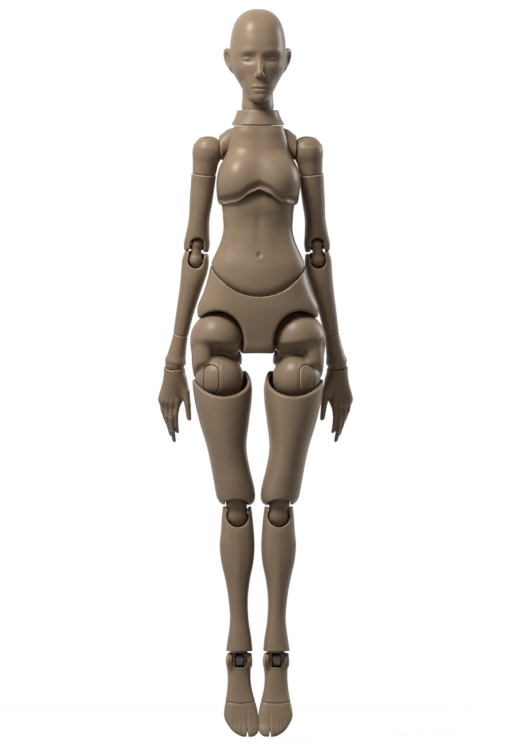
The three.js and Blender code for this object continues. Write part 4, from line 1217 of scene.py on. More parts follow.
@dataclass
class Arm:
    """Clavicle to hand of the left arm, mirrored for the right."""

    gap: float = 0.3
    seam: float = 0.14
    cap_shift: float = -1.2
    cap_half: float = 5.85
    cap_radius: float = 5.75
    shoulder_end: float = 7.2
    shoulder_face: float = 5.1
    shoulder_shaft: float = 1.6
    disc: float = 3.4
    disc_half: float = 1.5
    deltoid_length: float = 10.4
    cut_rise: float = 0.8
    bicep_peg: float = 2.0
    elbow_room: float = 2.85
    elbow_low_room: float = 3.15
    elbow_ball: float = 2.5
    elbow_low_ball: float = 2.85
    elbow_neck: float = 2.1
    elbow_ear: float = 3.1
    fork_back: float = 10.0
    elbow_pin: float = 0.8
    elbow_pin_half: float = 4.4
    twist_peg: float = 1.4
    wrist_radius: float = 3.9
    wrist_ball: float = 2.0
    wrist_shaft: float = 1.1
    sleeve_end: float = 0.7
    clavicle_rows: Rows = (
        (5.4, 84.6, 2, 4.2, 3.8, 3.8),
        (8.8, 84.8, 2, 5.6, 4.6, 4.6),
        (12, 84.1, 2, 5.8, 5, 5),
        (15.5, 82.2, 2, 5.2, 5.3, 5.3),
        (18, 81.6, 2, 5.2, 5.3, 5.3),
    )
    deltoid_rows: Rows = (
        (1.6, -0.45, 0, 4.8, 5.3, 5.3),
        (-1, -0.5, 0, 5.15, 5.6, 5.6),
        (-5.2, -0.5, 0, 5.05, 5.3, 5.3),
        (-10.4, -0.3, 0, 4.6, 4.7, 4.7),
    )
    upper_arm_rows: Rows = (
        (0.8, -0.2, 0, 4.95, 5, 5),
        (-3, -0.2, 0, 4.85, 4.8, 4.8),
        (-9.9, -0.1, 0, 4.6, 4.6, 4.6),
        (-17.9, 0, 0, 4.2, 4.3, 4.3),
        (-23.7, 0, 0, 4.7, 3.8, 4.4),
        (-27.9, 0, 0, 5.2, 3.2, 4.5),
        (-31.4, 0, 0, 4.8, 2.9, 4.3),
    )
    forearm_rows: Rows = (
        (3.4, 0, 0, 4.7, 2.9, 4.3),
        (-0.6, -0.2, 0, 5.4, 3.3, 4.5),
        (-4, -0.4, 0, 5.3, 4.1, 4.7),
        (-8, -0.4, 0, 4.85, 4.7, 4.7),
        (-12.4, -0.3, 0, 4.35, 4.5, 4.5),
        (-20.7, 0, 0, 3.6, 3.8, 3.8),
        (-30.9, 0, 0, 3, 3.1, 3.1),
    )
    cuff_rows: Rows = (
        (0, 0, 0, 3, 3.1, 3.1),
        (-3.6, 0, 0, 3.15, 3.2, 3.2),
        (-7.3, 0, 0, 3.55, 3.5, 3.5),
        (-10.9, 0, 0, 3.9, 3.85, 3.85),
    )
    hand_root: float = -2.0
    hand_lean: float = 0.28
    hand_rim: float = 0.8
    rim_dip: tuple[float, float, float] = (1.5, 1.8, 2.0)
    palm_end: float = -17.6
    palm_rows: Rows = (
        (-0.6, -0.2, 0, 4.2, 4, 4),
        (-4, -0.2, 0, 4.5, 3.9, 3.9),
        (-7, 0.1, 0.1, 4.8, 3.6, 3.6),
        (-10.1, 0.75, 0.3, 5.1, 3.2, 3.2),
        (-13.3, 2, 0.4, 5, 2.8, 2.9),
        (-15.9, 2.9, 0.4, 4.5, 2.4, 2.6),
        (-17.8, 3.2, 0.5, 3.4, 1.8, 2),
    )
    thumb: Rows = (
        (-2.6, -0.6, -5.4, 1.9),
        (-4.1, -1.4, -9.8, 1.65),
        (-4.4, -1.8, -14.6, 1.35),
        (-4.5, -1.6, -20.2, 1.0),
    )
    fingers: Sequence[Rows] = (
        ((-0.4, -0.8, -14.3, 1.35), (0.95, -0.6, -20, 1.15), (1.05, 0.4, -24.2, 1.0), (0.7, 1.5, -26.8, 0.8)),
        ((1.95, -0.4, -15.2, 1.4), (2.8, -0.3, -21.8, 1.2), (2.7, 0.8, -26.8, 1.02), (2.3, 2.1, -30.7, 0.8)),
        ((4.2, 0.2, -15.6, 1.35), (4.4, 0.3, -21.1, 1.15), (3.9, 1.5, -25.4, 0.98), (3.4, 2.7, -28.6, 0.78)),
        ((6.1, 0.9, -15.3, 1.2), (5.8, 1.1, -19.5, 1.02), (5.1, 2.1, -22.5, 0.88), (4.6, 3.1, -24.7, 0.7)),
    )

    def build(self, bench: Bench) -> None:
        """Makes the arm's pieces, each drawn along -Z from its own joint.

        Args:
            bench: makes and dresses the pieces.
        """
        self.shoulder = centre_of("left_arm_swing")
        across, up = -axis_of("left_elbow_upper"), axis_of("left_arm_swivel")
        low_across, low_up = -axis_of("left_elbow_lower"), axis_of("left_forearm_twist")
        deltoid = Place.hung(self.shoulder, across, up)
        upper = Place.hung(centre_of("left_arm_swivel"), across, up)
        link = Place.hung(centre_of("left_elbow_upper"), across, up)
        forearm = Place.hung(centre_of("left_elbow_lower"), low_across, low_up)
        cuff = Place.hung(centre_of("left_forearm_twist"), low_across, low_up)
        hand = Place.hung(centre_of("left_wrist_flex"), low_across, low_up)
        level = -axis_of("left_arm_swing")
        hinge = Place.hung(self.shoulder, level, np.cross(level, -axis_of("left_arm_raise")))
        self.swing_axis = deltoid.turn @ level
        self.elbow = upper.to_drawing(link.origin)
        self.elbow_low = link.to_drawing(forearm.origin)
        self.twist = forearm.to_drawing(cuff.origin)
        self.wrist = cuff.to_drawing(hand.origin)
        bench.skin("left_clavicle", self.clavicle, step=0.25)
        bench.skin("left_shoulder_hinge", self.shoulder_hinge, JOINT, 0.22, hinge)
        bench.skin("left_deltoid", self.deltoid, step=0.25, place=deltoid)
        bench.skin("left_upper_arm", self.upper_arm, step=0.25, place=upper)
        bench.skin("left_elbow_link", self.elbow_link, SKIN, 0.2, link)
        bench.skin("left_forearm", self.forearm, step=0.25, place=forearm)
        bench.skin("left_wrist_cuff", self.wrist_cuff, step=0.25, place=cuff)
        bench.skin("left_hand", self.hand, step=0.2, place=hand)
        bench.pin("left_elbow_pin_upper", link, self.elbow_pin)
        bench.pin("left_elbow_pin_lower", forearm, self.elbow_pin)
        down = Place.hung(hand.origin, -low_up, low_across)
        bench.peg("left_wrist_peg", down, self.wrist_shaft, self.wrist_ball)

    def clavicle(self, p: Axes) -> Field:
        """Shoulder block: sections carried outwards, cupped for the shoulder ball.

        Args:
            p: the grid's coordinates in millimetres.

        Returns:
            The distance to the piece's skin.
        """
        x, y, z = p
        body = loft(x, z, y, self.clavicle_rows)
        outer = self.shoulder[0] - self.shoulder_face - self.gap
        body = trim(body, self.clavicle_rows[0][0] - x, 1.2)
        body = trim(body, x - outer, 0.5)
        body = carve(body, ball(p, self.shoulder, self.shoulder_end + self.gap), 0.3)
        shaft = rod(p, Direction.ACROSS, self.shoulder, self.shoulder_shaft + self.gap, outer - 6, outer + 4)
        return carve(body, shaft, 0.15)

    def shoulder_hinge(self, p: Axes) -> Field:
        """Hinge disc across the shoulder on a shaft that runs into the clavicle.

        Args:
            p: the grid's coordinates in millimetres.

        Returns:
            The distance to the piece's skin.
        """
        disc = rod(p, Direction.DEPTH, (0, 0, 0), self.disc, -self.disc_half, self.disc_half)
        disc = trim(disc, np.abs(p[1]) - self.disc_half, 0.25)
        shaft = rod(p, Direction.ACROSS, (0, 0, 0), self.shoulder_shaft, -9, 0)
        return merge(disc, shaft, 0.5)

    def deltoid(self, p: Axes) -> Field:
        """Shoulder cap: a squared egg about the swing axis and a sleeve, slotted for hinge and arm peg.

        Args:
            p: the grid's coordinates in millimetres.

        Returns:
            The distance to the piece's skin.
        """
        x, y, z = p
        sleeve = trim(loft(z, x, y, self.deltoid_rows), z - self.deltoid_rows[0][0], 0.4)
        inward = sum(axis * part for axis, part in zip(p, self.swing_axis))
        off = np.sqrt(np.maximum(x**2 + y**2 + z**2 - inward**2, 0))
        cap = egg((inward, off), (self.cap_shift, 0), (self.cap_half, self.cap_radius), 2.2)
        body = merge(trim(cap, ball(p, (0, 0, 0), self.shoulder_end), 0.4), sleeve, 1.6)
        body = swell(body, p, (4.5, -1, -3), (3, 4, 4), 0.2)
        body = trim(body, -z - self.deltoid_length + self.cut_rise + self.seam / 2, 0.3)
        disc_room = self.disc_half + self.gap
        disc = rod(p, Direction.DEPTH, (0, 0, 0), self.disc + self.gap, -disc_room, disc_room)
        body = carve(body, disc, 0.15)
        _, high = swing_of("left_arm_raise")
        room = self.shoulder_shaft + self.gap
        slot = np.maximum(fan(x, z, (0, 0), 8, room, np.linspace(176 - high, 186, 7)), np.abs(y) - room)
        body = carve(body, slot, 0.3)
        return carve(body, rod(p, Direction.UP, (0, 0, 0), self.bicep_peg + self.gap, -12, -5), 0.15)

    def upper_arm(self, p: Axes) -> Field:
        """Upper arm with its peg on top and a fork at the elbow.

        Args:
            p: the grid's coordinates in millimetres.

        Returns:
            The distance to the piece's skin.
        """
        x, y, z = p
        elbow = self.elbow[2]
        body = loft(z, x, y, self.upper_arm_rows)
        body = swell(body, p, (0, -4.5, -12), (3, 3, 7), 0.25)
        body = trim(body, z - self.cut_rise + self.seam / 2, 0.3)
        fork = fork_end(y, z - elbow, self.fork_back, self.elbow_ear)
        body = trim(body, np.minimum(elbow - z, fork), 0.4)
        room = self.elbow_room
        window = rod(p, Direction.DEPTH, self.elbow, room, -9, room)
        slot = np.maximum(np.maximum(np.abs(x) - room, y - room), z - elbow)
        body = carve(body, np.minimum(window, slot), 0.4)
        body = merge(body, rod(p, Direction.UP, (0, 0, 0), self.bicep_peg, -1, 5), 0.2)
        return carve(body, pin_hole(p, self.elbow, self.elbow_pin, self.elbow_pin_half), 0.05)

    def elbow_link(self, p: Axes) -> Field:
        """Dumb-bell between the two elbow pins."""
        balls, necks = (self.elbow_ball, self.elbow_low_ball), (self.elbow_neck, self.elbow_neck)
        return dumb_bell(p, ((0, 0, 0), self.elbow_low), balls, necks, 0.5, self.elbow_pin)

    def forearm(self, p: Axes) -> Field:
        """Forearm with a fork for the elbow link and a bore for the wrist cuff's peg.

        Args:
            p: the grid's coordinates in millimetres.

        Returns:
            The distance to the piece's skin.
        """
        x, y, z = p
        body = loft(z, x, y, self.forearm_rows)
        body = trim(body, -z + self.twist[2] + self.seam / 2, 0.25)
        body = trim(body, np.minimum(z, fork_end(y, z, self.fork_back, self.elbow_ear)), 0.4)
        room = self.elbow_low_room
        window = rod(p, Direction.DEPTH, (0, 0, 0), room, -9, 0)
        slot = np.maximum(np.maximum(np.abs(x) - room, y - room), -z)
        cup = np.minimum(np.minimum(window, slot), ball(p, (0, 0, 0), room))
        body = carve(body, cup, 0.4)
        body = carve(body, pin_hole(p, (0, 0, 0), self.elbow_pin, self.elbow_pin_half), 0.05)
        end = self.twist[2]
        bore = rod(p, Direction.UP, self.twist, self.twist_peg + self.gap, end - 1, end + 6.4)
        return carve(body, bore, 0.1)

    def wrist_cuff(self, p: Axes) -> Field:
        """Lower forearm: a sleeve that ends in the wrist ball, with a peg on top.

        Args:
            p: the grid's coordinates in millimetres.

        Returns:
            The distance to the piece's skin.
        """
        x, y, z = p
        ends = np.maximum(z + self.seam / 2, self.wrist[2] + self.sleeve_end - z)
        body = trim(loft(z, x, y, self.cuff_rows), ends, 0.25)
        body = merge(body, ball(p, self.wrist, self.wrist_radius), 1.5)
        body = merge(body, rod(p, Direction.UP, (0, 0, 0), self.twist_peg, -1, 6), 0.2)
        low, high = swing_of("left_wrist_flex")
        room = self.wrist_shaft + self.gap
        angles = np.linspace(-90 + low, -90 + high, 5)
        return carve(body, peg_room(p, self.wrist, 6, room, angles, self.wrist_ball + self.gap), 0.15)

    def hand(self, p: Axes) -> Field:
        """Relaxed open hand: a palm with four slender fingers that curl inwards and a loose thumb.

        Args:
            p: the grid's coordinates in millimetres.

        Returns:
            The distance to the piece's skin.
        """
        x, y, z = p
        x = x + self.hand_lean * np.maximum(self.hand_root - z, 0)
        wrist, p = p, (x, y, z)
        body = loft(z, x, y, self.palm_rows)
        body = trim(body, self.palm_end - z, 1.2)
        deep, middle, spread = self.rim_dip
        dip = deep * np.exp(-(((x - middle) / spread) ** 2)) * np.clip(-0.5 * y, 0, 1)
        body = trim(body, (z + self.hand_rim + dip) * 0.85, 0.4)
        body = merge(body, self.digit(p, self.thumb), 1.6)
        reach = None
        for path in self.fingers:
            one = self.digit(p, path)
            reach = one if reach is None else merge(reach, one, 0.15)
            body = swell(body, p, (path[0][0], -2.2, path[0][2]), (0.9, 1.5, 1.5), 0.35)
        body = merge(body, reach, 0.9)
        body = carve(body, ball(wrist, (0, 0, 0), self.wrist_radius + self.gap), 0.4)
        return carve(body, bar(wrist, (0, 0, 0), (0, 0, -10), self.wrist_shaft + self.gap), 0.1)

    def digit(self, p: Axes, path: Rows) -> Field:
        """One finger: tapered bars end to end, with a slight swelling at each knuckle.

        Args:
            p: the grid's coordinates in millimetres.
            path: place and radius of each knuckle and of the tip.

        Returns:
            The distance to the finger's skin.
        """
        made = None
        for start, end in zip(path, path[1:]):
            part = bar(p, start[:3], end[:3], start[3], end[3])
            made = part if made is None else merge(made, part, 0.3)
        return made


@dataclass
class Leg:
    """Hip peg to toe of the left leg, mirrored for the right."""

    gap: float = 0.3
    hip_radius: float = 10.2
    hip_ball: float = 4.0
    hip_shaft: float = 2.0
    thigh_radius: float = 9.7
    thigh_pin: float = 1.2
    cup_side: float = -9.2
    cup_dip: float = 0.7
    cup_wall: float = 1.4
    cup_floor: float = -21.0
    cup_inner: float = -4.6
    cup_slope: float = 0.24
    cap_x: float = 19.1
    cap_half: float = 2.85
    cap_top: float = -4.4
    cap_bottom: float = -16.0
    cap_depth: float = 4.9
    knee_ball: float = 4.1
    knee_low_ball: float = 4.4
    knee_neck: float = 4.15
    knee_low_neck: float = 4.2
    knee_room: float = 4.3
    knee_low_room: float = 4.5
    knee_front: float = 10.0
    knee_arch: tuple[float, float] = (5.2, 2.6)
    knee_ear: float = 3.6
    knee_low_ear: float = 4.0
    knee_pin: float = 1.0
    knee_pin_half: float = 6.5
    knee_low_pin_half: float = 5.4
    ankle_disc: float = 2.6
    ankle_disc_half: float = 2.2
    ankle_ball: float = 2.8
    ankle_eye: float = 1.5
    ankle_neck: float = 1.5
    ankle_recess: float = 1.0
    ankle_window: tuple[float, float] = (3.1, 3.1)
    ankle_cheek: float = 2.75
    ankle_side: float = 5.1
    ankle_pin: float = 0.8
    ankle_pin_half: float = 3.9
    ankle_room: float = 2.95
    shin_end: float = -119.1
    shin_bow: float = 0.009
    shin_end_depth: float = 5.6
    toe_hinge: tuple[float, float, float] = (0, -17.5, -8.05)
    toe_knuckle: float = 2.4
    toe_pin: float = 0.7
    toe_pin_half: float = 5.0
    sole: float = -10.4
    split_x: float = -2.9
    split_from: float = 26.6
    thigh_rows: Rows = (
        (-0.06, -0.8, 11.3, 11.2, 11.4),
        (0.06, -0.8, 11.85, 12, 12),
        (0.19, -0.3, 11.4, 12.3, 12),
        (0.35, 0.4, 10.1, 12, 11),
        (0.61, 0.9, 7.8, 10.4, 9),
        (0.78, 0.5, 7.7, 9, 7.6),
        (0.95, 0, 7.9, 8.4, 6.4),
        (1.0, 0, 7.75, 8.1, 6),
        (1.035, 0, 7.2, 7.8, 5.6),
        (1.06, 0, 6.3, 7.4, 5.2),
        (1.08, 0, 4.8, 7, 4.8),
    )
    shin_rows: Rows = (
        (-0.07, 0, 5.7, 4.4, 4.4),
        (0.01, 0, 6.2, 4.9, 4.9),
        (0.1, 0, 6.6, 5.7, 6.2),
        (0.2, 0.2, 7, 5.8, 8),
        (0.31, 0.2, 6.55, 5.6, 8.6),
        (0.45, 0.2, 4.9, 5, 7.6),
        (0.58, 0.1, 3.9, 4.4, 5.8),
        (0.72, -0.2, 3.75, 4, 4.8),
        (0.86, -0.2, 4.8, 4.5, 4.9),
        (0.945, 0, 5.4, 4.8, 5),
    )
    foot_rows: Rows = (
        (-6.8, 0, -6, 2.4, 2.6, 2.6),
        (-5.7, 0, -5.6, 4, 4.5, 4),
        (-4.2, 0, -5.1, 4.9, 5.3, 4.9),
        (-2.2, 0, -4.8, 5.2, 5.6, 5.6),
        (0, 0, -4.6, 5, 5.8, 6),
        (2.5, 0, -5, 4.7, 5.4, 5.4),
        (5, 0, -5.6, 4.6, 4.9, 4.7),
        (10, -0.1, -6.8, 5, 3.7, 3.6),
        (14.5, -0.3, -7.8, 5.9, 2.7, 2.9),
        (17.5, -0.4, -8.05, 6.5, 2.45, 2.45),
        (21.6, -0.6, -8.5, 6.85, 2, 1.9),
        (25, -1.3, -8.8, 6.1, 1.7, 1.5),
        (28.2, -2.4, -9, 4.7, 1.5, 1.3),
        (30.2, -3.1, -9.1, 2.4, 1, 0.9),
    )

    def build(self, bench: Bench) -> None:
        """Makes the leg's pieces; the foot and toe are drawn flat.

        Args:
            bench: makes and dresses the pieces.
        """
        self.hip = centre_of("left_hip_swing")
        self.thigh_centre = centre_of("left_thigh_lift")
        self.knee = centre_of("left_knee_upper")
        self.knee_low = centre_of("left_knee_lower")
        self.tilt = centre_of("left_ankle_tilt")
        self.ankle = centre_of("left_ankle_flex")
        toe = centre_of("left_toe_bend") - self.ankle
        point = math.atan2(toe[2], -toe[1]) - math.atan2(self.toe_hinge[2], -self.toe_hinge[1])
        self.point = -point
        flat = Place.hung(self.ankle, X_AXIS, np.array([0, math.sin(point), math.cos(point)]))
        bench.skin("left_upper_thigh", self.upper_thigh)
        bench.skin("left_thigh_joint_cap", self.joint_cap, step=0.2)
        bench.skin("left_thigh", self.thigh)
        bench.skin("left_knee_link", self.knee_link, JOINT, 0.25)
        bench.skin("left_shin", self.shin, step=0.28)
        bench.skin("left_ankle_link", self.ankle_link, DARK_METAL, 0.2)
        bench.skin("left_foot", self.foot, step=0.22, place=flat)
        bench.skin("left_toe", self.toe, step=0.2, place=flat)
        inward = Place.hung(self.hip, -X_AXIS, Z_AXIS)
        bench.peg("left_hip_peg", inward, self.hip_shaft, self.hip_ball)
        pins = (
            ("left_thigh_hinge_pin", self.thigh_centre, self.thigh_pin, STEEL),
            ("left_knee_pin_upper", self.knee, self.knee_pin, STEEL),
            ("left_knee_pin_lower", self.knee_low, self.knee_pin, STEEL),
            ("left_ankle_pin", self.ankle, self.ankle_pin, DARK_METAL),
            ("left_toe_pin", centre_of("left_toe_bend"), self.toe_pin, STEEL),
        )
        for name, centre, radius, finish in pins:
            bench.pin(name, Place(centre, np.eye(3)), radius, finish, self.thigh_radius - 0.2)

    def limb_rows(self, start: np.ndarray, end: np.ndarray, rows: Rows) -> list[list[float]]:
        """Rows given by their share of the way between two joints, turned into sections.

        Args:
            start: the upper joint.
            end: the lower joint.
            rows: share of the way, shift across, half width, front and back of each section.

        Returns:
            Height, centre, half width, front and back of each section.
        """
        made = []
        for share, shift, *sizes in rows:
            x, y, z = start + (end - start) * share
            made.append([z, x + shift, y, *sizes])
        return made

    def upper_thigh(self, p: Axes) -> Field:
        """Two balls joined along the outside, open in front so that the leg can lift.

        Args:
            p: the grid's coordinates in millimetres.

        Returns:
            The distance to the piece's skin.
        """
        x, y, z = p
        _, ty, tz = self.thigh_centre
        lifted = 0.6 - 0.574 * (y - ty) - 0.819 * (z - tz)
        behind = self.cup_back(x) + 0.8 + 0.09 * np.maximum(y, 0) - z
        swept = np.maximum(lifted, behind)
        bridge = trim(egg(p, (22.1, 0.3, -1.2), (4.3, 7.6, 11.5), 2.3), swept, 0.8)
        inner = trim(egg(p, (13.4, 4.4, -2.4), (7.2, 5.5, 6.0), 2.4), swept, 0.8)
        core = egg(p, (17.0, 3.7, -1.5), (7.6, 4.5, 9))
        under = 4.3 + 0.12 * (x - 16) - 1.5 * np.maximum(y + 4.6, 0)
        body = merge(trim(ball(p, self.hip, self.hip_radius), (under - z) * 0.8, 1.2), core, 0.8)
        body = merge(merge(body, inner, 0.8), bridge, 3.0)
        body = merge(body, ball(p, self.thigh_centre, self.thigh_radius), 1.0)
        body = swell(body, p, (15.7, -9, -9.6), (0.18, 5, 8), -0.28)
        body = carve(body, self.stadium(p, self.gap * 0.6, -self.cap_depth + self.gap), 0.25)
        body = carve(body, ball(p, self.hip, self.hip_ball + self.gap), 0.1)
        low, high = swing_of("left_hip_spread")
        room = self.hip_shaft + self.gap
        slot = fan(x, z, (self.hip[0], self.hip[2]), 14, room, np.linspace(180 - high, 180 - low, 4))
        body = carve(body, np.maximum(slot, np.abs(y) - room), 0.4)
        return carve(body, pin_hole(p, self.thigh_centre, self.thigh_pin, 2 * THROUGH), 0.05)

    def cup_back(self, x: Field) -> Field:
        """Height of the thigh cup's rim behind the joint, which rises towards the inside."""
        return self.cup_inner - self.cup_slope * (x - 3)

    def stadium(self, p: Axes, extra: float, back: float) -> Field:
        """Round-ended plate that stands for the plug's outline, from the front to a depth.

        Args:
            p: the grid's coordinates in millimetres.
            extra: room added round the outline.
            back: where the plate ends in depth.

        Returns:
            The distance to the plate's edge.
        """
        x, y, z = p
        radius = self.cap_half + extra
        nearest = np.clip(z, self.cap_bottom + self.cap_half, self.cap_top - self.cap_half)
        off = np.sqrt((x - self.cap_x) ** 2 + (z - nearest) ** 2) - radius
        return np.maximum(off, y - back)

    def joint_cap(self, p: Axes) -> Field:
        """Plug that closes the thigh joint: a round-topped plate with the ball's own curve."""
        return trim(ball(p, self.thigh_centre, self.thigh_radius), self.stadium(p, 0, -self.cap_depth), 0.35)

    def thigh(self, p: Axes) -> Field:
        """Thigh shell: a cup over the joint ball with a dipping front rim, and a fork at the knee.

        Args:
            p: the grid's coordinates in millimetres.

        Returns:
            The distance to the piece's skin.
        """
        x, y, z = p
        body = loft(z, x, y, self.limb_rows(self.thigh_centre, self.knee, self.thigh_rows))
        body = swell(body, p, (self.knee[0], -8.5, -49), (4.5, 3, 5), 0.35)
        hollow = np.maximum(body + self.cup_wall, self.cup_floor - z)
        rim = np.minimum(self.cup_side + self.cup_dip * y, self.cup_back(x))
        body = carve(trim(body, (z - rim) * 0.82, 0.35), hollow, 0.3)
        body = carve(body, ball(p, self.thigh_centre, self.thigh_radius + self.gap), 0.5)
        kx, ky, kz = self.knee
        ears = fork_end(ky - y, z - kz, self.knee_front, self.knee_ear)
        body = trim(body, np.minimum(kz - z, ears), 0.8)
        arch = np.maximum(oval(x, z, (kx, kz - self.knee_ear), self.knee_arch), y - ky)
        low, high = swing_of("left_knee_upper")
        slot = swing(p, self.knee, 14, self.knee_room, np.linspace(-90 + low, -87 + high, 6))
        body = carve(body, np.minimum(slot, arch), 0.35)
        inner = self.thigh_centre[0] - 10.5
        pin = rod(p, Direction.ACROSS, self.thigh_centre, self.thigh_pin + PIN_PLAY, inner, 26.1)
        knee_pin = pin_hole(p, self.knee, self.knee_pin, self.knee_pin_half)
        return carve(body, np.minimum(pin, knee_pin), 0.05)

    def knee_link(self, p: Axes) -> Field:
        """Dumb-bell between the two knee pins, nearly as thick between them."""
        balls, necks = (self.knee_ball, self.knee_low_ball), (self.knee_neck, self.knee_low_neck)
        return dumb_bell(p, (self.knee, self.knee_low), balls, necks, 0.4, self.knee_pin)

    def shin(self, p: Axes) -> Field:
        """Shin and calf with a fork for the knee and a slot for the ankle link.

        Args:
            p: the grid's coordinates in millimetres.

        Returns:
            The distance to the piece's skin.
        """
        x, y, z = p
        body = loft(z, x, y, self.limb_rows(self.knee_low, self.ankle, self.shin_rows))
        body = swell(body, p, (self.knee_low[0] - 0.3, -5, -86), (1.3, 2, 13), 0.25)
        body = trim(body, self.shin_end + self.shin_bow * (x - self.ankle[0]) ** 2 - z, 0.5)
        ears = rod(p, Direction.ACROSS, self.knee_low, self.knee_low_ear, -9, 30)
        body = trim(body, np.minimum(z - self.knee_low[2], ears), 0.4)
        low, high = swing_of("left_knee_lower")
        slot = swing(p, self.knee_low, 14, self.knee_low_room, np.linspace(87 - high, 90 - low, 6))
        window = rod(p, Direction.DEPTH, self.knee_low, self.knee_low_room, -20, self.knee_low[1])
        body = carve(body, np.minimum(slot, window), 0.35)
        body = carve(body, pin_hole(p, self.knee_low, self.knee_pin, self.knee_low_pin_half), 0.05)
        tx, ty, tz = self.tilt
        deep, room = self.ankle_disc_half + self.gap, self.ankle_disc + self.gap
        disc = rod(p, Direction.DEPTH, self.tilt, room, ty - deep, ty + deep)
        level = np.maximum(np.maximum(np.abs(x - tx) - room, np.abs(y - ty) - deep), z - tz)
        cap = ball(p, self.ankle, self.ankle_ball + self.gap + 0.5)
        return carve(body, np.minimum(np.minimum(disc, level), cap), 0.3)

    def ankle_link(self, p: Axes) -> Field:
        """Metal ankle joint: a disc across, a neck and a drilled eye.

        Args:
            p: the grid's coordinates in millimetres.

        Returns:
            The distance to the piece's skin.
        """
        y = p[1]
        deep = self.ankle_disc_half
        disc = rod(p, Direction.DEPTH, self.tilt, self.ankle_disc, self.tilt[1] - deep, self.tilt[1] + deep)
        disc = trim(disc, np.abs(y - self.tilt[1]) - deep, 0.3)
        body = merge(disc, bar(p, self.ankle, self.tilt, self.ankle_neck), 0.4)
        low, high = self.ankle[0] - self.ankle_eye, self.ankle[0] + self.ankle_eye
        eye = rod(p, Direction.ACROSS, self.ankle, self.ankle_ball, low, high)
        body = merge(body, trim(eye, np.abs(p[0] - self.ankle[0]) - self.ankle_eye, 0.35), 0.3)
        return carve(body, pin_hole(p, self.ankle, self.ankle_pin), 0.1)

    def foot_skin(self, p: Axes) -> Field:
        """Whole foot drawn flat: sections from heel to toe tip on a flat sole, with a high arch.

        Args:
            p: the grid's coordinates in millimetres.

        Returns:
            The distance to the piece's skin.
        """
        x, y, z = p
        body = loft(-y, x, z, self.foot_rows, 2.2)
        heel, tip = self.foot_rows[0][0], self.foot_rows[-1][0]
        body = trim(body, np.maximum(heel + y, -y - tip), 1.0)
        return trim(body, self.sole - z, 0.9)

    def shin_at(self, y: Field, z: Field, angle: float) -> Field:
        """Room of the shin's end when it leans to an angle about the ankle pin.

        Args:
            y: coordinate along the foot.
            z: coordinate upwards.
            angle: the shin's angle in radians, from +Y towards +Z.

        Returns:
            The distance to the edge of that room.
        """
        along = y * math.cos(angle) + z * math.sin(angle)
        side = z * math.cos(angle) - y * math.sin(angle)
        return np.maximum(self.ankle_room - along, np.abs(side) - self.shin_end_depth)

    def foot(self, p: Axes) -> Field:
        """Heel and instep, open at the top for the ankle link and ended by the toe hinge.

        Args:
            p: the grid's coordinates in millimetres.

        Returns:
            The distance to the piece's skin.
        """
        x, y, z = p
        hinge = self.toe_hinge
        body = trim(self.foot_skin(p), hinge[1] - y, 0.3)
        body = carve(body, rod(p, Direction.ACROSS, hinge, self.toe_knuckle + self.gap / 2, -9, 9), 0.35)
        cheeks = rod(p, Direction.ACROSS, (0, 0, 0), self.ankle_cheek, -self.ankle_side, self.ankle_side)
        body = merge(body, trim(cheeks, np.abs(x) - self.ankle_side, 0.6), 1.8)
        low, high = swing_of("left_ankle_flex")
        rest = 90 - math.degrees(self.point)
        angles = np.linspace(rest + low, rest + high, 7)
        shin_room = np.minimum.reduce([self.shin_at(y, z, angle) for angle in np.radians(angles)])
        link = self.ankle_ball + self.gap
        front = 180 - math.degrees(self.point)
        slot = fan(y, z, (0, 0), 20, link, [*angles, *np.linspace(angles[-1], front, 4)])
        slot = np.maximum(slot, np.abs(x) - self.ankle_eye - self.gap)
        ahead = -y * math.cos(self.point) + z * math.sin(self.point)
        rise = y * math.sin(self.point) + z * math.cos(self.point)
        window = egg((x, np.minimum(rise, 0)), (0, 0), self.ankle_window, 4.0)
        window = np.maximum(window, self.ankle_recess - ahead)
        body = carve(body, shin_room, 0.15)
        body = carve(body, np.minimum(slot, window), 0.4)
        body = carve(body, pin_hole(p, (0, 0, 0), self.ankle_pin, self.ankle_pin_half), 0.05)
        return carve(body, pin_hole(p, hinge, self.toe_pin, self.toe_pin_half), 0.05)

    def toe(self, p: Axes) -> Field:
        """Toe piece: a great toe split from the rest, and a knuckle round the hinge pin.

        Args:
            p: the grid's coordinates in millimetres.

        Returns:
            The distance to the piece's skin.
        """
        x, y, _ = p
        hinge = self.toe_hinge
        body = self.foot_skin(p)
        body = swell(body, p, (self.split_x, -23.5, -6.6), (0.3, 4.5, 1.6), -0.28)
        for shift in (2.1, 3.9, 5.5):
            body = swell(body, p, (self.split_x + shift, -29 + 0.8 * shift, -7.8), (0.28, 2.2, 1.2), -0.2)
        knuckle = rod(p, Direction.ACROSS, hinge, self.toe_knuckle, -9, 9)
        body = trim(body, np.minimum(y - hinge[1], knuckle), 0.35)
        split = np.maximum(np.abs(x - self.split_x) - 0.1 * (-y - self.split_from), y + self.split_from)
        body = carve(body, split, 0.4)
        return carve(body, pin_hole(p, hinge, self.toe_pin, self.toe_pin_half), 0.05)


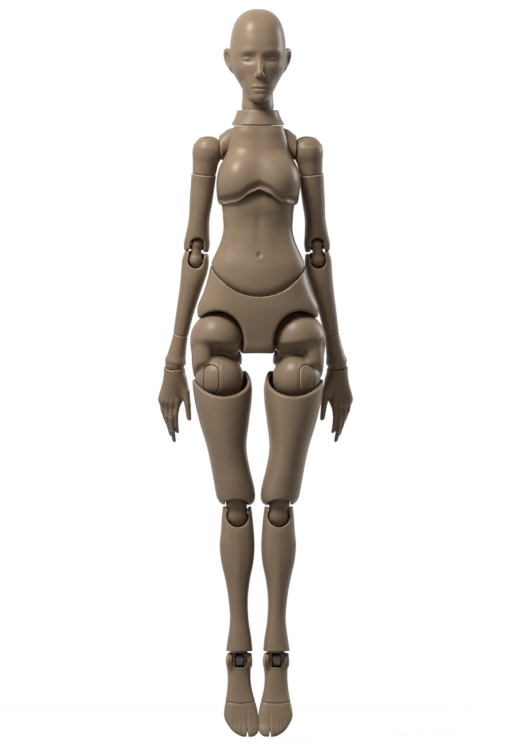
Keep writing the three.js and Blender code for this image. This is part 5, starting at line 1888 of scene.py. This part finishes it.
@dataclass
class Studio:
    """White ground, soft lamps and the camera of the photograph."""

    picture: tuple[int, int] = (505, 747)
    world_light: float = 0.02
    floor_glow: float = 0.8
    mm_per_pixel: float = 0.4
    middle_pixel: tuple[float, float] = (258.0, 354.0)
    azimuth: float = -3.0
    distance: float = 6.0
    sensor_mm: float = 36.0
    floor_radius: float = 0.6
    floor_drop: float = 0.0005
    floor_sides: int = 96

    def build(self) -> None:
        """Sets up the view, the world, the lamps, the floor and the camera."""
        scene = bpy.context.scene
        scene.view_settings.view_transform = "Standard"
        self.world(scene)
        self.floor()
        self.lamp("key", (-0.3, -0.3, 0.52), 0.26, 5.0)
        self.lamp("side", (-0.8, -0.35, -0.05), 0.4, 0.7)
        self.lamp("rim", (0.7, 0.3, 0.25), 0.3, 2.8)
        self.camera(scene)

    def world(self, scene: bpy.types.Scene) -> None:
        """A world that is white to the eye and in reflections, and dim as light.

        Args:
            scene: the scene to set up.
        """
        made = bpy.data.worlds.new("studio")
        scene.world = made
        made.use_nodes = True
        tree = made.node_tree
        shown = {"Value": self.seen(tree), "To Min": self.world_light, "To Max": 1.0}
        strength = add_node(tree, "ShaderNodeMapRange", {}, shown)
        ground = tree.nodes["Background"]
        ground.inputs["Color"].default_value = (1, 1, 1, 1)
        tree.links.new(strength.outputs[0], ground.inputs["Strength"])

    def seen(self, tree: bpy.types.NodeTree) -> bpy.types.NodeSocket:
        """Value that is 1 for rays of the eye and of reflections, and 0 for light on the object.

        Args:
            tree: the node tree of the world or of the floor.

        Returns:
            The socket that carries the value.
        """
        path = add_node(tree, "ShaderNodeLightPath", {}, {})
        made = path.outputs["Is Camera Ray"]
        for name in ("Is Glossy Ray", "Is Transmission Ray"):
            either = {0: made, 1: path.outputs[name]}
            made = add_node(tree, "ShaderNodeMath", {"operation": "MAXIMUM"}, either).outputs[0]
        return made

    def floor(self) -> None:
        """A pale round floor at the toes."""
        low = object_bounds()[0][2]
        angle = np.linspace(0, 2 * np.pi, self.floor_sides, endpoint=False)
        ring = np.stack([np.cos(angle), np.sin(angle), 0 * angle], 1) * self.floor_radius
        face = np.arange(self.floor_sides)[None, :]
        made = to_object("floor", ring + (0, 0, low - self.floor_drop), [face])
        pale = bpy.data.materials.new("pale_floor")
        pale.use_nodes = True
        tree = pale.node_tree
        shader = tree.nodes["Principled BSDF"]
        shader.inputs["Base Color"].default_value = linear("#82807d")
        shader.inputs["Roughness"].default_value = 0.9
        glow = {0: self.seen(tree), 1: self.floor_glow}
        lift = add_node(tree, "ShaderNodeMath", {"operation": "MULTIPLY"}, glow)
        shader.inputs["Emission Color"].default_value = (1, 1, 1, 1)
        tree.links.new(lift.outputs[0], shader.inputs["Emission Strength"])
        made.data.materials.append(pale)
        made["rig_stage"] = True

    def lamp(self, name: str, place: Point, size: float, power: float) -> None:
        """A square area lamp that faces the figure's middle.

        Args:
            name: the lamp's name.
            place: where it hangs, in metres.
            size: the length of its sides in metres.
            power: its power in watts.
        """
        data = bpy.data.lights.new(name, "AREA")
        data.size = size
        data.energy = power
        made = bpy.data.objects.new(name, data)
        made.location = place
        made.rotation_mode = "QUATERNION"
        made.rotation_quaternion = (Vector((0, 0, 0)) - Vector(place)).to_track_quat("-Z", "Y")
        bpy.context.scene.collection.objects.link(made)

    def camera(self, scene: bpy.types.Scene) -> None:
        """A long lens, level with the figure, framed as the photograph is.

        Args:
            scene: the scene to set up.
        """
        width, height = self.picture
        scale = self.mm_per_pixel * MM
        aside, rise = width / 2 - self.middle_pixel[0], self.middle_pixel[1] - height / 2
        aim = Vector((aside * scale, 0, rise * scale))
        turn = math.radians(self.azimuth)
        back = Vector((math.sin(turn), -math.cos(turn), 0))
        data = bpy.data.cameras.new("camera")
        data.sensor_width = self.sensor_mm
        data.lens = self.sensor_mm * self.distance / (height * scale)
        data.clip_start, data.clip_end = 0.1, 50
        made = bpy.data.objects.new("camera", data)
        made.location = aim + back * self.distance
        made.rotation_mode = "QUATERNION"
        made.rotation_quaternion = (-back).to_track_quat("-Z", "Y")
        scene.collection.objects.link(made)
        scene.camera = made


def main() -> None:
    """Builds the studio and every piece of the figure."""
    logging.basicConfig(level=logging.INFO, format="%(message)s")
    Studio().build()
    bench = Bench()
    for part in (Torso(), HeadAndNeck(), Arm(), Leg()):
        part.build(bench)


if __name__ == "__main__":
    main()
